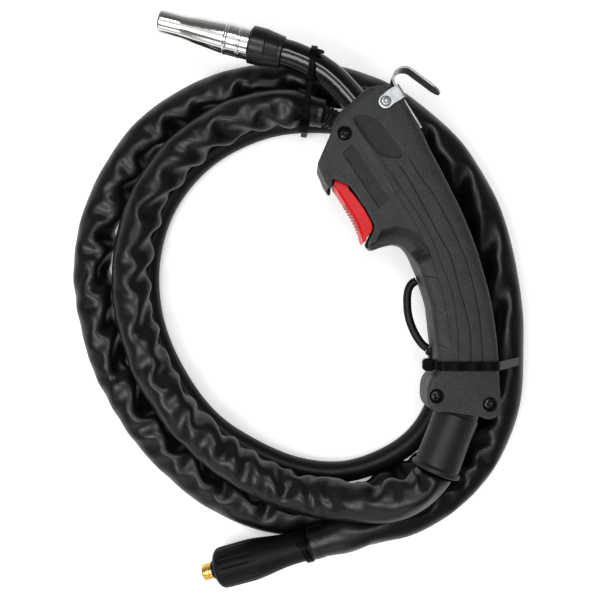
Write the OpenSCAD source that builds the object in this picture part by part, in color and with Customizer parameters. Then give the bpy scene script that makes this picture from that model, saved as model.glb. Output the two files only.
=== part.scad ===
/* [Handle] */
// Thickness of the closed handle, across the two shells
handle_t = 34; // [33:0.5:38]
// Height of the parting plane above the surface the torch lies on
mid_z = 47; // [46:0.5:50]
// Wall thickness of the shells
wall = 2.4; // [2:0.1:3]
// Pocket depth of the two bare panels
panel_depth = 0.6; // [0.3:0.1:1]

/* [Neck and nozzle] */
// Outer radius of the insulated swan neck
neck_r = 7.9; // [7.5:0.1:8]
// Bend radius of the swan neck
neck_bend_r = 70; // [70:1:72]
// Angle that the swan neck turns through
neck_turn = 34.6; // [34:0.2:35]
// Length of the gas nozzle
nozzle_len = 53.5; // [52:0.5:56]
// Outer radius of the gas nozzle at its rear band
nozzle_r = 9.3; // [9.2:0.1:9.6]
// Outer radius of the gas nozzle at its mouth
mouth_r = 6.8; // [6.6:0.1:7]

/* [Hose] */
// Radius of the sheathed hose
sheath_r = 9.9; // [9:0.1:9.9]
// Radius of the bare hose
bare_r = 6.7; // [6:0.1:6.7]
// Radius of the control lead
lead_r = 2.4; // [2:0.1:2.5]

/* [Plug] */
// Radius of the bayonet plug's brass pin
pin_r = 5; // [4.8:0.1:5.2]
// Length of the brass pin outside the grip
pin_len = 9; // [8:0.5:10]
// Largest radius of the plug's grip
grip_r = 12.2; // [11.5:0.1:12.4]

/* [Trigger] */
// Width of the trigger, across the handle
trigger_w = 24; // [20:0.5:24]

/* [Hidden] */

// Plan offset that centres the torch without its hose on the origin
ox = -28.2;
oy = -31.5;

// Half thickness of the handle
ht = handle_t / 2;

// Nozzle seat: base point of the nozzle and direction in which it points
n_base = [-28.2, 145.8];
n_ang = 165.6;
// Start of the neck's bend, 19.2 mm behind the nozzle seat
n_back = 19.2;
// Travel direction towards the handle at the nozzle end
t_ang = n_ang - 180;
bend_start = n_base + n_back * [cos(t_ang), sin(t_ang)];
bend_c = bend_start + neck_bend_r * [sin(t_ang), -cos(t_ang)];
bend_end = bend_c + neck_bend_r * [cos(90 + t_ang - neck_turn), sin(90 + t_ang - neck_turn)];
// Travel direction where the neck enters the handle
in_ang = t_ang - neck_turn;

// Boot: point where its axis meets the handle's rear wall, and its direction
boot_p = [90, -63];
boot_ang = -111;
boot_len = 37;

// Hanger rivet
riv = [47, 109];
// Outward normal of the handle's back edge beside the rivet
back_ang = 31.8;
corner_r = 9.8;

// Trigger pivot
piv = [24, 69];
// Switch plunger: rear point on the trigger's back edge and direction inwards
plg = [33.9, 54.5];
plg_ang = 35;

// Handle outline seen along Z
outline = concat(
  [for (a = [96, 80, 64, 48, back_ang]) riv + corner_r * [cos(a), sin(a)]],
  [[66.2, 96.4], [72.4, 83.6], [78.4, 72.2], [84, 61.1], [89.4, 50], [94.1, 38.9], [98.2, 27.8],
   [101.5, 16.7], [104.5, 5.6], [106.8, -5.6], [108.4, -16.7], [109.4, -27], [109.9, -38], [110.2, -48],
   [110.8, -56], [110.6, -60], [109.2, -63.4], [106.4, -65.4], [103, -65.8], [99.5, -64.5], [94, -63.6], [81, -61.4], [75.5, -62], [72, -60],
   [70.4, -56.5], [70.6, -47.5], [72, -43.4], [76, -40.4], [76, -32.5], [74.8, -21.5], [73.7, -11],
   [72.4, -2.5], [69.2, 8], [66.8, 15.4], [63.4, 23.4], [60.2, 28.8], [57.6, 31], [53.6, 32],
   [47.4, 30.8], [41, 28.6], [39.4, 29.6], [38.2, 33], [40.6, 38.4], [40.6, 42.4], [36.6, 50.4],
   [31, 58.4], [27, 63], [18.6, 60.6], [16.6, 61.2], [13.6, 65.6], [10.6, 72.4], [9.8, 75.4], [13.2, 83.4],
   [17.4, 93], [18, 97], [22.4, 104.4], [28.8, 109.8], [36, 116.6], [40, 118.2]]);

// Side view of the trigger, along Z
trigger_pts = [[19.6, 66], [21, 69.6], [24, 72.3], [27.3, 70], [28, 66], [27.4, 62.8], [31, 58.4], [36.6, 50.4], [40.4, 42.6], [40.6, 38.8],
  [39.3, 36.8], [36.9, 34.8], [36, 32.4], [35.1, 32.6], [34.8, 35], [32.1, 44.2], [27.8, 50.5], [24.7, 54.5],
  [21.2, 60.2], [19.2, 62.6], [18.6, 64.6]];

// Opening in the handle's faces around the trigger
slot_pts = [[17.6, 67.4], [27.6, 64], [31.8, 59], [37.5, 50.9], [41.4, 42.9], [41.6, 38.4],
  [38.6, 34], [37.4, 31], [34, 26], [20, 44], [12, 60.6], [17.4, 61.6]];

// Room for the trigger's swing between the faces
swing_pts = [[17.6, 67.4], [18.6, 71.6], [24, 74], [29.6, 71], [30, 65], [34, 60.6], [40.2, 53.4], [44.8, 45.6], [45.6, 41.4], [44.4, 36.8],
  [41.2, 31.6], [37.2, 27], [34, 26], [20, 44], [15, 60.4]];

// Route of the sheathed hose from the boot to the sheath's open mouth
inner_route = [[76.6, -98.8, 47], [73.8, -105.2, 46.8], [68.2, -110.4, 46.2], [60, -114.6, 44.8], [48.6, -117, 42],
  [34, -117.4, 37], [16, -117, 30], [-4, -114.2, 25.5], [-30, -102.5, 23.5], [-57, -83, 23],
  [-81, -54, 23], [-95.5, -21, 23], [-100.5, 13, 23], [-95.5, 46, 23], [-82, 74, 23],
  [-60, 96, 23.6], [-32, 110, 24.8], [-4, 114, 25.7], [11, 111.6, 25.6]];

// Route of the bare hose, from the strain sleeve under the handle and round to the outer sheath
bare_route = [[26, 105.4, 20.6], [36, 96, 18.2], [46.4, 79.6, 11.2], [60, 65.4, 7], [71.6, 48, 7], [80, 26, 7],
  [85.6, -3, 7.2], [87.2, -36.4, 8], [84.4, -62.6, 7.4], [73.4, -82.4, 7], [55.2, -96.4, 7], [28, -105.8, 7],
  [-2, -103.4, 7], [-30, -91.9, 7], [-56, -74, 7], [-78, -44, 7], [-91.4, -9, 7], [-92.4, 27, 7],
  [-81.6, 60, 7], [-57, 88.5, 7], [-23, 105.6, 7], [7, 109.4, 8.2], [38, 106, 7.2], [56.4, 94.4, 9.2]];

// Route of the outer sheath, under the handle, once round the ring and up to the plug
outer_route = [[57.8, 92.8, 10.3], [75.5, 74.5, 10.2], [88, 54.5, 10.2], [96.4, 32, 10.2], [101.4, 9, 10.2],
  [103.8, -12, 10.3], [104, -36.4, 11.5], [101.2, -64, 10.4], [90.2, -88.6, 10.2], [71.6, -107.8, 10.2],
  [46.4, -121.2, 10.2], [16, -130, 10.2], [-16, -130.6, 10.2], [-48, -116.6, 10.2], [-76, -95.4, 10.2],
  [-99.6, -67.6, 10.2], [-116, -35.6, 10.2], [-124.6, -2, 10.2], [-125.4, 32, 10.2], [-114.6, 66.4, 10.2],
  [-93.4, 98.4, 10.2], [-63, 120.4, 10.2], [-28, 131.4, 10.6], [6, 134, 11.4], [36, 127.2, 10.4],
  [63, 113, 10.2], [87.6, 90.8, 10.2], [106.6, 62.6, 10.2], [118, 30.4, 10.2], [123.4, -3, 11.4],
  [123.7, -36.4, 14.4], [121, -69.4, 12], [106.6, -100, 12.2], [85.6, -120.4, 17.4], [64, -129.4, 23.6],
  [44, -133, 26.6], [28, -137, 27.6], [13, -142.6, 27]];

// Route of the control lead, from its grommet round to its second grommet
lead_route = [[67.3, 11, 40], [64.9, 9.6, 39.8], [63.1, 6.9, 39.5], [62.2, 3, 39.2], [62.1, -2, 38.9], [62.7, -8.4, 38.8],
  [64.6, -15, 38.8], [67.8, -21.6, 39.2], [71, -25.9, 39.5], [73.6, -28, 39.6]];

// Plug: rear point, front point of the grip
plug_rear = [11.4, -143.2, 26.5];
plug_front = [-50, -163.5, 14.6];

function unit(v) = v / norm(v);
function tangent(p, i) = unit(i == 0 ? p[1] - p[0] : i == len(p) - 1 ? p[i] - p[i - 1]
  : unit(p[i + 1] - p[i]) + unit(p[i] - p[i - 1]));
function side(t) = unit(cross([0, 0, 1], t));

// Tube swept along a list of points
module tube(p, r, n = 12) {
  pts = [for (i = [0:len(p) - 1]) let (t = tangent(p, i), s = side(t), u = cross(t, s))
    for (k = [0:n - 1]) p[i] + r * (cos(360 * k / n) * s + sin(360 * k / n) * u)];
  m = len(p);
  faces = concat(
    [[for (k = [0:n - 1]) k]],
    [for (i = [0:m - 2]) for (k = [0:n - 1])
      [i * n + k, (i + 1) * n + k, (i + 1) * n + (k + 1) % n, i * n + (k + 1) % n]],
    [[for (k = [n - 1:-1:0]) (m - 1) * n + k]]);
  polyhedron(points = pts, faces = faces, convexity = 10);
}

// Coil spring along +Z
module coil(r, wire, turns, h, steps = 14, n = 6) {
  p = [for (i = [0:turns * steps]) [r * cos(360 * i / steps), r * sin(360 * i / steps),
    wire + (h - 2 * wire) * i / (turns * steps)]];
  tube(p, wire, n);
}

// Moves a piece from the plan's drawing point to the origin
module at() { translate([ox, oy, 0]) children(); }
// Places its children with local +Z along the nozzle, origin at the nozzle seat
module on_nozzle() { translate([n_base[0], n_base[1], mid_z]) rotate([0, 0, n_ang]) rotate([0, 90, 0]) children(); }
// Places its children with local +Z along the neck's entry, origin at the end of the bend
module on_entry() { translate([bend_end[0], bend_end[1], mid_z]) rotate([0, 0, in_ang]) rotate([0, 90, 0]) children(); }
// Places its children with local +Z along the boot, origin at the handle's rear wall
module on_boot() { translate([boot_p[0], boot_p[1], mid_z]) rotate([0, 0, boot_ang]) rotate([0, 90, 0]) children(); }
// Places its children with local +X towards the inside of the handle at the switch plunger
module on_plunger() { translate([plg[0], plg[1], mid_z]) rotate([0, 0, plg_ang]) children(); }
// Places its children with local +Z along the plug, origin at the rear of the grip
module on_plug() {
  v = plug_front - plug_rear;
  translate(plug_rear) rotate([0, 0, atan2(v[1], v[0])]) rotate([0, 90 - asin(v[2] / norm(v)), 0]) children();
}
plug_len = norm(plug_front - plug_rear);

// Ring section swept along the neck's bend, with straight ends
module neck_run(r_out, r_in, before, after) {
  difference() {
    union() {
      translate([bend_c[0], bend_c[1], mid_z]) rotate([0, 0, 90 + t_ang - neck_turn])
        rotate_extrude(angle = neck_turn, $fn = 180) translate([neck_bend_r, 0]) circle(r = r_out, $fn = 40);
      if (before > 0) on_nozzle() translate([0, 0, -n_back - 1]) cylinder(r = r_out - 0.06, h = before + 1, $fn = 40);
      on_entry() translate([0, 0, -1]) cylinder(r = r_out - 0.06, h = after + 1, $fn = 40);
    }
    translate([bend_c[0], bend_c[1], mid_z]) rotate([0, 0, 90 + t_ang - neck_turn])
      rotate_extrude(angle = neck_turn, $fn = 180) translate([neck_bend_r, 0]) circle(r = r_in, $fn = 40);
    on_nozzle() translate([0, 0, -n_back - 1]) cylinder(r = r_in + 0.06, h = before + 2, $fn = 40);
    on_entry() translate([0, 0, -1]) cylinder(r = r_in + 0.06, h = after + 2, $fn = 40);
  }
}

module gas_nozzle() {
  color([0.8, 0.8, 0.82]) at() on_nozzle() rotate_extrude($fn = 64)
    polygon([[7.3, 0.4], [nozzle_r, 0.4], [nozzle_r, 4.6], [8.8, 5], [8.8, 6.2], [nozzle_r, 6.6], [nozzle_r, 9.4],
      [8.8, 9.8], [8.8, 12.6], [nozzle_r, 13.2], [nozzle_r, 15], [9, 17.5], [7.6, 33], [7, 37], [mouth_r, 40],
      [mouth_r, nozzle_len], [5.7, nozzle_len], [5.7, 38], [7.3, 28]]);
}
module nozzle_spring() {
  color([0.75, 0.75, 0.77]) at() on_nozzle() translate([0, 0, 4]) coil(6.6, 0.45, 4, 9);
}
module contact_tip() {
  color([0.78, 0.45, 0.3]) at() on_nozzle() difference() {
    union() {
      translate([0, 0, 20]) cylinder(r = 2.3, h = 7, $fn = 32);
      translate([0, 0, 26]) cylinder(r = 3, h = 18, $fn = 32);
      translate([0, 0, 44]) cylinder(r1 = 3, r2 = 2.2, h = 4, $fn = 32);
    }
    translate([0, 0, 19]) cylinder(r = 0.5, h = 30, $fn = 24);
  }
}
module tip_holder() {
  color([0.8, 0.65, 0.35]) at() on_nozzle() difference() {
    union() {
      translate([0, 0, -8]) cylinder(r = 4.5, h = 9, $fn = 40);
      translate([0, 0, 0.6]) cylinder(r = 6, h = 17, $fn = 40);
      translate([0, 0, 17.6]) cylinder(r = 4.6, h = 8, $fn = 40);
    }
    translate([0, 0, -9]) cylinder(r = 2.35, h = 40, $fn = 32);
    for (a = [0, 90, 180, 270]) rotate([0, 0, a]) translate([0, 0, 15]) rotate([0, 90, 0]) cylinder(r = 0.9, h = 8, $fn = 20);
  }
}
module nozzle_insulator() {
  color([0.08, 0.08, 0.08]) at() on_nozzle() difference() {
    rotate_extrude($fn = 64) polygon([[5.2, 0], [10.6, 0], [10.6, -8], [9.9, -8.8], [9.6, -12.5], [8.5, -19.1], [5.2, -19.1]]);
  }
}
module neck_tube() {
  color([0.6, 0.55, 0.45]) at() neck_run(5, 2.5, 10.4, 26);
}
module neck_sleeve() {
  color([0.05, 0.05, 0.05]) at() neck_run(neck_r, 5.1, 0, 20);
}
module wire_liner() {
  color([0.2, 0.3, 0.6]) at() neck_run(2.2, 1.1, 10.2, 28);
}
module neck_nut() {
  color([0.8, 0.65, 0.35]) at() on_entry() translate([0, 0, 20.4]) difference() {
    cylinder(r = 7.2, h = 5, $fn = 6);
    translate([0, 0, -1]) cylinder(r = 5.05, h = 7, $fn = 40);
  }
}
module neck_block() {
  color([0.8, 0.65, 0.35]) at() on_entry() difference() {
    translate([-7, -6, 26.2]) cube([14, 12, 22]);
    translate([0, 0, 25]) cylinder(r = 2.4, h = 12, $fn = 32);
    translate([0, 0, 36]) cylinder(r = 1.2, h = 16, $fn = 24);
    translate([-20, 0, 42]) rotate([0, 90, 0]) cylinder(r = 1.5, h = 15, $fn = 24);
  }
}

// One half of the handle's casing with its cavity, from the parting plane to +Z
module half_casing(near) {
  z = [0, 12.5, 14.4, 15.8, 16.6, 17];
  o = [0, -0.5, -1.4, -2.6, -4.2];
  difference() {
    for (i = [0:4]) translate([0, 0, z[i] * ht / 17]) linear_extrude((z[i + 1] - z[i]) * ht / 17)
      offset(delta = o[i]) polygon(outline);
    difference() {
      union() {
        translate([0, 0, -1]) linear_extrude(13.5 * ht / 17) offset(delta = -wall) polygon(outline);
        translate([0, 0, 12 * ht / 17]) linear_extrude(ht - 12 * ht / 17 - wall) offset(delta = -wall - 2) polygon(outline);
      }
      for (s = screw_p) translate([s[0], s[1], -2]) cylinder(r = 5.2, h = 30, $fn = 32);
      translate([0, 0, -2]) linear_extrude(30) polygon(guard_pts);
      translate([riv[0], riv[1], -2]) cylinder(r = 4.6, h = 30, $fn = 32);
      translate([piv[0], piv[1], 12.3]) cylinder(r = 3.6, h = 30, $fn = 32);
      // Ribs that hold the neck and the boot
      translate([bend_end[0], bend_end[1], -2]) rotate([0, 0, in_ang]) translate([17, -20, 0]) cube([3, 40, 30]);
    }
    // Faces cut back round the trigger, and the room for its swing
    translate([0, 0, -1]) linear_extrude(ht + 2) polygon(slot_pts);
    translate([0, 0, -1]) linear_extrude(13.3) polygon(swing_pts);
    // Shoulder under the finger guard
    translate([0, 0, 13.2]) linear_extrude(ht) polygon([[36, 28], [39.9, 34.6], [45, 36.8], [50, 37.8], [56, 38.2], [60, 37.4], [63.8, 33.4],
      [66, 26], [60, 22], [48, 24]]);
  }
}
screw_p = [[24.7, 92], [75.4, -53], [104.8, -57.5]];
// Solid finger guard below the trigger
guard_pts = [[36, 26], [43, 32.6], [44.2, 41], [60.4, 41.6], [67, 35.4], [70, 26], [60, 21], [47, 23]];

module handle_shell_near() {
  color([0.16, 0.16, 0.17]) at() difference() {
    translate([0, 0, mid_z]) half_casing(true);
    on_entry() translate([0, 0, -20]) cylinder(r = neck_r + 0.1, h = 40.2, $fn = 48);
    on_entry() translate([0, 0, 20]) cylinder(r = 8.4, h = 8, $fn = 48);
    on_boot() translate([0, 0, -7]) cylinder(r = 12.2, h = 27, $fn = 64);
    on_boot() translate([0, 0, -5.6]) cylinder(r = 13.8, h = 3.2, $fn = 64);
    for (s = screw_p) translate([s[0], s[1], mid_z - 1]) {
      cylinder(r = 1.7, h = 30, $fn = 24);
      translate([0, 0, 13]) cylinder(r = 3.8, h = 10, $fn = 40);
    }
    translate([riv[0], riv[1], mid_z - 1]) cylinder(r = 1.65, h = 30, $fn = 32);
    translate([piv[0], piv[1], mid_z - 1]) cylinder(r = 1.55, h = 15.5, $fn = 32);
    translate([0, 0, mid_z + ht - panel_depth]) linear_extrude(5) {
      polygon([[30, 101.4], [35.2, 102.4], [40, 101.4], [44, 98.8], [56, 81.6], [55.4, 80], [51, 79.2], [44, 81.4], [38.4, 87]]);
      polygon([[23.6, 81.6], [29.4, 86.4], [49, 56.6], [43.8, 51.4]]);
    }
  }
}
module handle_shell_far() {
  color([0.15, 0.15, 0.16]) at() difference() {
    translate([0, 0, mid_z]) mirror([0, 0, 1]) half_casing(false);
    on_entry() translate([0, 0, -20]) cylinder(r = neck_r + 0.1, h = 40.2, $fn = 48);
    on_entry() translate([0, 0, 20]) cylinder(r = 8.4, h = 8, $fn = 48);
    on_boot() translate([0, 0, -7]) cylinder(r = 12.2, h = 27, $fn = 64);
    on_boot() translate([0, 0, -5.6]) cylinder(r = 13.8, h = 3.2, $fn = 64);
    for (s = screw_p) translate([s[0], s[1], mid_z - ht - 1]) {
      cylinder(r = 1.7, h = 30, $fn = 24);
      cylinder(r = 3.4, h = 5, $fn = 6);
    }
    translate([riv[0], riv[1], mid_z - 20]) cylinder(r = 1.65, h = 30, $fn = 32);
    translate([piv[0], piv[1], mid_z - 14.5]) cylinder(r = 1.55, h = 20, $fn = 32);
    for (g = grommets) translate(g[0]) rotate([0, 0, g[1]]) rotate([0, 90, 0]) translate([0, 0, -8]) cylinder(r = 3.2, h = 12, $fn = 32);
  }
}
module handle_screws() {
  color([0.05, 0.05, 0.05]) at() for (s = screw_p) translate([s[0], s[1], mid_z]) difference() {
    union() {
      translate([0, 0, -15.4]) cylinder(r = 1.5, h = 28, $fn = 24);
      translate([0, 0, 12.2]) cylinder(r = 3.2, h = 2, $fn = 32);
      translate([0, 0, 14.2]) cylinder(r1 = 3.2, r2 = 2.2, h = 0.8, $fn = 32);
    }
    translate([0, 0, 13.8]) for (a = [0, 90]) rotate([0, 0, a]) translate([-1.7, -0.35, 0]) cube([3.4, 0.7, 4]);
  }
}
module handle_nuts() {
  color([0.6, 0.6, 0.62]) at() for (s = screw_p) translate([s[0], s[1], mid_z - ht + 1.2]) difference() {
    cylinder(r = 3.1, h = 2.4, $fn = 6);
    translate([0, 0, -1]) cylinder(r = 1.55, h = 5, $fn = 24);
  }
}
module trigger() {
  color([0.85, 0.08, 0.08]) at() translate([0, 0, mid_z - trigger_w / 2]) difference() {
    union() {
      linear_extrude(trigger_w) polygon(trigger_pts);
      // Ribs across the finger face
      for (p = [[24.9, 54.3], [26.6, 52.1], [28.3, 49.8], [29.9, 47.4], [31.5, 45], [32.7, 42.4], [33.5, 39.8]])
        translate([p[0], p[1], 1]) cylinder(r = 0.7, h = trigger_w - 2, $fn = 16);
    }
    translate([piv[0], piv[1], -1]) cylinder(r = 1.58, h = trigger_w + 2, $fn = 32);
    // Hollow back of the moulding, either side of its middle web
    for (z = [2, trigger_w / 2 + 3]) translate([0, 0, z]) linear_extrude(trigger_w / 2 - 5)
      polygon([[26, 60.4], [29.6, 62], [42.4, 43], [41.6, 40.4], [37.6, 40.4], [32, 49.4]]);
  }
}
module trigger_pin() {
  color([0.7, 0.7, 0.72]) at() translate([piv[0], piv[1], mid_z - 14]) cylinder(r = 1.5, h = 28, $fn = 32);
}
module trigger_spring() {
  color([0.72, 0.72, 0.74]) at() on_plunger() translate([0.6, -8.2, 0]) rotate([0, 90, 0]) coil(1.9, 0.3, 5, 10.6, 12, 5);
}
module switch_body() {
  color([0.1, 0.1, 0.1]) at() on_plunger() difference() {
    union() {
      translate([4.4, -5, -6]) cube([13, 16, 12]);
      translate([11.4, -11.4, -6]) cube([6, 7, 12]);
    }
    rotate([0, 90, 0]) translate([0, 0, 0]) cylinder(r = 2.08, h = 12, $fn = 32);
  }
}
module switch_plunger() {
  color([0.85, 0.85, 0.8]) at() on_plunger() rotate([0, 90, 0]) {
    translate([0, 0, 0.9]) cylinder(r = 2, h = 8.1, $fn = 32);
    translate([0, 0, 0.3]) cylinder(r = 1.5, h = 1, $fn = 32);
  }
}
module switch_terminals() {
  color([0.8, 0.65, 0.35]) at() on_plunger() for (y = [-2, 6]) translate([17.5, y, -0.4]) cube([4.4, 2.6, 0.8]);
}
module switch_wires() {
  color([0.7, 0.1, 0.1]) at() {
    tube([[53, 66.9, 47], [58, 65, 45], [63, 56.5, 42], [68, 44, 41], [72, 30, 41], [75, 19, 40.8], [76, 15.6, 40.8]], 0.7, 8);
    tube([[48.4, 73.8, 47], [54, 73.4, 43], [61, 64.6, 39.6], [67.4, 51, 38.6], [72.4, 36, 38.4], [76.6, 22, 38.6], [77.6, 16, 38.8]], 0.7, 8);
    tube([[79.3, -33, 40.2], [82, -38, 39.6], [86, -44, 40], [88.4, -48, 41.4]], 0.7, 8);
    tube([[79, -34.4, 38.4], [81.5, -40, 37.4], [86, -46, 37.6], [89, -49.4, 38.6]], 0.7, 8);
  }
}
// Strip bent into the leg and the hook, 12 mm wide
module hanger_hook() {
  x = corner_r + 1.55;
  c = [x + 7.1, 7];
  arm = [cos(21.5), sin(21.5)];
  color([0.75, 0.76, 0.78]) at() translate([riv[0], riv[1], mid_z - 6]) rotate([0, 0, back_ang]) difference() {
    linear_extrude(12) polygon(concat(
      [[x, -21.5], [x, 7]],
      [for (i = [1:17]) let (a = 180 - i * 158.5 / 18) c + 7.1 * [cos(a), sin(a)]],
      [c + 7.1 * arm, c + 7.1 * arm + 21 * [arm[1], -arm[0]], c + 5.95 * arm + 21 * [arm[1], -arm[0]], c + 5.95 * arm],
      [for (i = [17:-1:1]) let (a = 180 - i * 158.5 / 18) c + 5.95 * [cos(a), sin(a)]],
      [[x + 1.15, 7], [x + 1.15, -21.5]]));
    // Rounded tip of the free arm
    translate(c) rotate([0, 0, 21.5]) difference() {
      translate([5, -23, -1]) cube([3, 7, 14]);
      translate([4, -14.7, 6]) rotate([0, 90, 0]) cylinder(r = 6.3, h = 5, $fn = 48);
    }
  }
}
module hanger_saddle() {
  color([0.78, 0.79, 0.8]) at() translate([riv[0], riv[1], 0]) {
    for (z = [mid_z - ht - 1.5, mid_z + ht + 0.3]) translate([0, 0, z]) difference() {
      union() {
        cylinder(r = 4, h = 1.2, $fn = 48);
        rotate([0, 0, back_ang]) translate([0, -3.6, 0]) cube([corner_r + 1.5, 8.2, 1.2]);
      }
      translate([0, 0, -1]) cylinder(r = 1.6, h = 4, $fn = 32);
    }
    rotate([0, 0, back_ang]) translate([corner_r + 0.4, -3.6, mid_z - ht - 1.5]) cube([1.1, 8.2, handle_t + 3]);
  }
}
module hanger_screw() {
  color([0.8, 0.8, 0.82]) at() translate([riv[0], riv[1], mid_z]) {
    translate([0, 0, -ht - 1.9]) cylinder(r = 1.54, h = handle_t + 3.8, $fn = 32);
    translate([0, 0, ht + 1.8]) cylinder(r1 = 2.8, r2 = 2.2, h = 1.2, $fn = 40);
    translate([0, 0, -ht - 2.8]) cylinder(r1 = 2.2, r2 = 2.8, h = 1, $fn = 40);
  }
}
module cable_boot() {
  color([0.09, 0.09, 0.09]) at() on_boot() difference() {
    union() {
      translate([0, 0, -5.4]) cylinder(r = 13.6, h = 2.8, $fn = 64);
      translate([0, 0, -2.7]) cylinder(r = 12, h = 8, $fn = 64);
      translate([0, 0, 4.8]) cylinder(r = 12.9, h = boot_len - 4.8, $fn = 64);
      translate([0, 0, boot_len - 3]) cylinder(r = 14.3, h = 3, $fn = 64);
    }
    translate([0, 0, -12]) cylinder(r = 7.4, h = boot_len + 13, $fn = 48);
  }
}
module cable_lug() {
  color([0.78, 0.45, 0.3]) at() on_entry() translate([0, 0, 48.4]) difference() {
    cylinder(r = 5.8, h = 13, $fn = 40);
    translate([0, 0, 5]) cylinder(r = 4.6, h = 10, $fn = 40);
    translate([0, 0, -1]) cylinder(r = 1.2, h = 10, $fn = 24);
  }
}
module power_cable() {
  color([0.06, 0.06, 0.06]) at() tube([[66.8, 71.2, 47], [74, 61, 47], [81, 46.4, 47], [86.6, 29, 47], [90.6, 9, 47], [93, -12, 47],
    [94, -32, 47], [93.4, -50, 47], [89.6, -64, 47], [83.4, -80, 47], [77.1, -96.4, 47]], 5.4, 10);
}
module inner_sheath() { color([0.07, 0.07, 0.07]) at() tube(inner_route, sheath_r); }
module strain_sleeve() {
  color([0.07, 0.07, 0.07]) at() {
    p = inner_route[len(inner_route) - 1];
    q = bare_route[0];
    v = q - p;
    translate(p) rotate([0, 0, atan2(v[1], v[0])]) rotate([0, 90 - asin(v[2] / norm(v)), 0]) {
      translate([0, 0, 0.3]) cylinder(r = 5.2, h = norm(v) - 0.6, $fn = 40);
      for (i = [0:5]) translate([0, 0, 1.4 + i * 2.5]) cylinder(r = 6.1, h = 1.3, $fn = 40);
    }
  }
}
module bare_hose() { color([0.06, 0.06, 0.06]) at() tube(bare_route, bare_r); }
module outer_sheath() { color([0.07, 0.07, 0.07]) at() tube(outer_route, sheath_r); }

// Band that follows the hull of circles [across, height, radius], t thick and w wide
module band(c, t, w) {
  rotate([90, 0, 0]) linear_extrude(w, center = true) difference() {
    hull() for (k = c) translate([k[0], k[1]]) circle(r = k[2] + t, $fn = 40);
    hull() for (k = c) translate([k[0], k[1]]) circle(r = k[2], $fn = 40);
  }
}
module cable_tie_front() {
  color([0.04, 0.04, 0.04]) at() translate([3, 106, 0]) rotate([0, 0, 82]) {
    band([[28.5, mid_z, neck_r + 1.5], [28.3, 11.45, sheath_r + 0.3], [7.1, 25.8, sheath_r + 0.4], [2.9, 8.8, bare_r + 1]], 1.1, 4);
    translate([7.1, 0, 25.8]) rotate([0, -150, 0]) translate([sheath_r + 0.9, -2.9, -3]) cube([4.4, 5.8, 6]);
  }
}
module cable_tie_rear() {
  color([0.04, 0.04, 0.04]) at() translate([0, -36.4, 0]) {
    band([[80.3, mid_z + 12.7, 4.5], [105.5, mid_z + 12.7, 4.6], [80.3, mid_z - 12.7, 4.5], [123.7, 14.4, sheath_r + 0.25],
      [104, 11.5, sheath_r + 0.25], [87.2, 8.1, bare_r + 0.4]], 1.1, 5);
    translate([69.8, -3.4, mid_z + 2]) cube([5, 6.8, 6.6]);
  }
}
module cable_tie_plug() {
  color([0.04, 0.04, 0.04]) at() on_plug() translate([0, 0, 6]) {
    difference() {
      cylinder(r = 10.6, h = 3.6, $fn = 48);
      translate([0, 0, -1]) cylinder(r = 9.5, h = 6, $fn = 48);
    }
    rotate([0, 0, 205]) translate([10.2, -2.6, -0.9]) cube([4.4, 5.2, 5.4]);
  }
}
grommets = [[[69.2, 11.9, 40], 204], [[75.2, -29.3, 39.6], 141]];
module control_lead() { color([0.05, 0.05, 0.05]) at() tube(lead_route, lead_r, 8); }
module lead_grommets() {
  color([0.05, 0.05, 0.05]) at() for (g = grommets) translate(g[0]) rotate([0, 0, g[1]]) rotate([0, 90, 0]) difference() {
    translate([0, 0, -5]) cylinder(r = 3.1, h = 6.4, $fn = 32);
    translate([0, 0, -6]) cylinder(r = 1.6, h = 5, $fn = 24);
  }
}
module plug_grip() {
  color([0.08, 0.08, 0.08]) at() on_plug() difference() {
    rotate_extrude($fn = 72) polygon([[0, 0.4], [9.2, 0.4], [9.2, 12], [9.5, 22], [10.9, 32], [grip_r, 42], [grip_r, plug_len - 6],
      [grip_r - 0.7, plug_len - 2.4], [grip_r - 2.6, plug_len], [0, plug_len]]);
    // Flutes round the front half
    for (a = [0:24:359]) rotate([0, 0, a]) translate([grip_r + 1.2, 0, 30]) cylinder(r = 2, h = plug_len - 34, $fn = 20);
    translate([0, 0, plug_len - 30]) cylinder(r = 6.1, h = 40, $fn = 48);
  }
}
module plug_pin() {
  color([0.83, 0.66, 0.3]) at() on_plug() difference() {
    union() {
      translate([0, 0, plug_len - 29.6]) cylinder(r = 6, h = 29, $fn = 48);
      translate([0, 0, plug_len - 1]) cylinder(r = pin_r, h = 1 + pin_len, $fn = 48);
    }
    translate([0, 0, plug_len + 0.9]) difference() {
      cylinder(r = pin_r + 2, h = 1.9, $fn = 48);
      translate([0, 0, -1]) cylinder(r = 4, h = 5, $fn = 48);
    }
    translate([0, 0, plug_len + pin_len - 5]) cylinder(r = 1.4, h = 8, $fn = 24);
    translate([0, 0, plug_len - 20]) rotate([0, 90, 0]) translate([0, 0, 2.4]) cylinder(r = 2.05, h = 8, $fn = 32);
  }
}
module plug_o_ring() {
  color([0.05, 0.05, 0.05]) at() on_plug() translate([0, 0, plug_len + 1.85])
    rotate_extrude($fn = 60) translate([4.85, 0]) circle(r = 0.8, $fn = 20);
}
module plug_set_screw() {
  color([0.5, 0.5, 0.52]) at() on_plug() translate([0, 0, plug_len - 20]) rotate([0, 90, 0]) difference() {
    translate([0, 0, 2.5]) cylinder(r = 2, h = 3.2, $fn = 32);
    translate([0, 0, 4.6]) cylinder(r = 1, h = 3, $fn = 6);
  }
}

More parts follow.
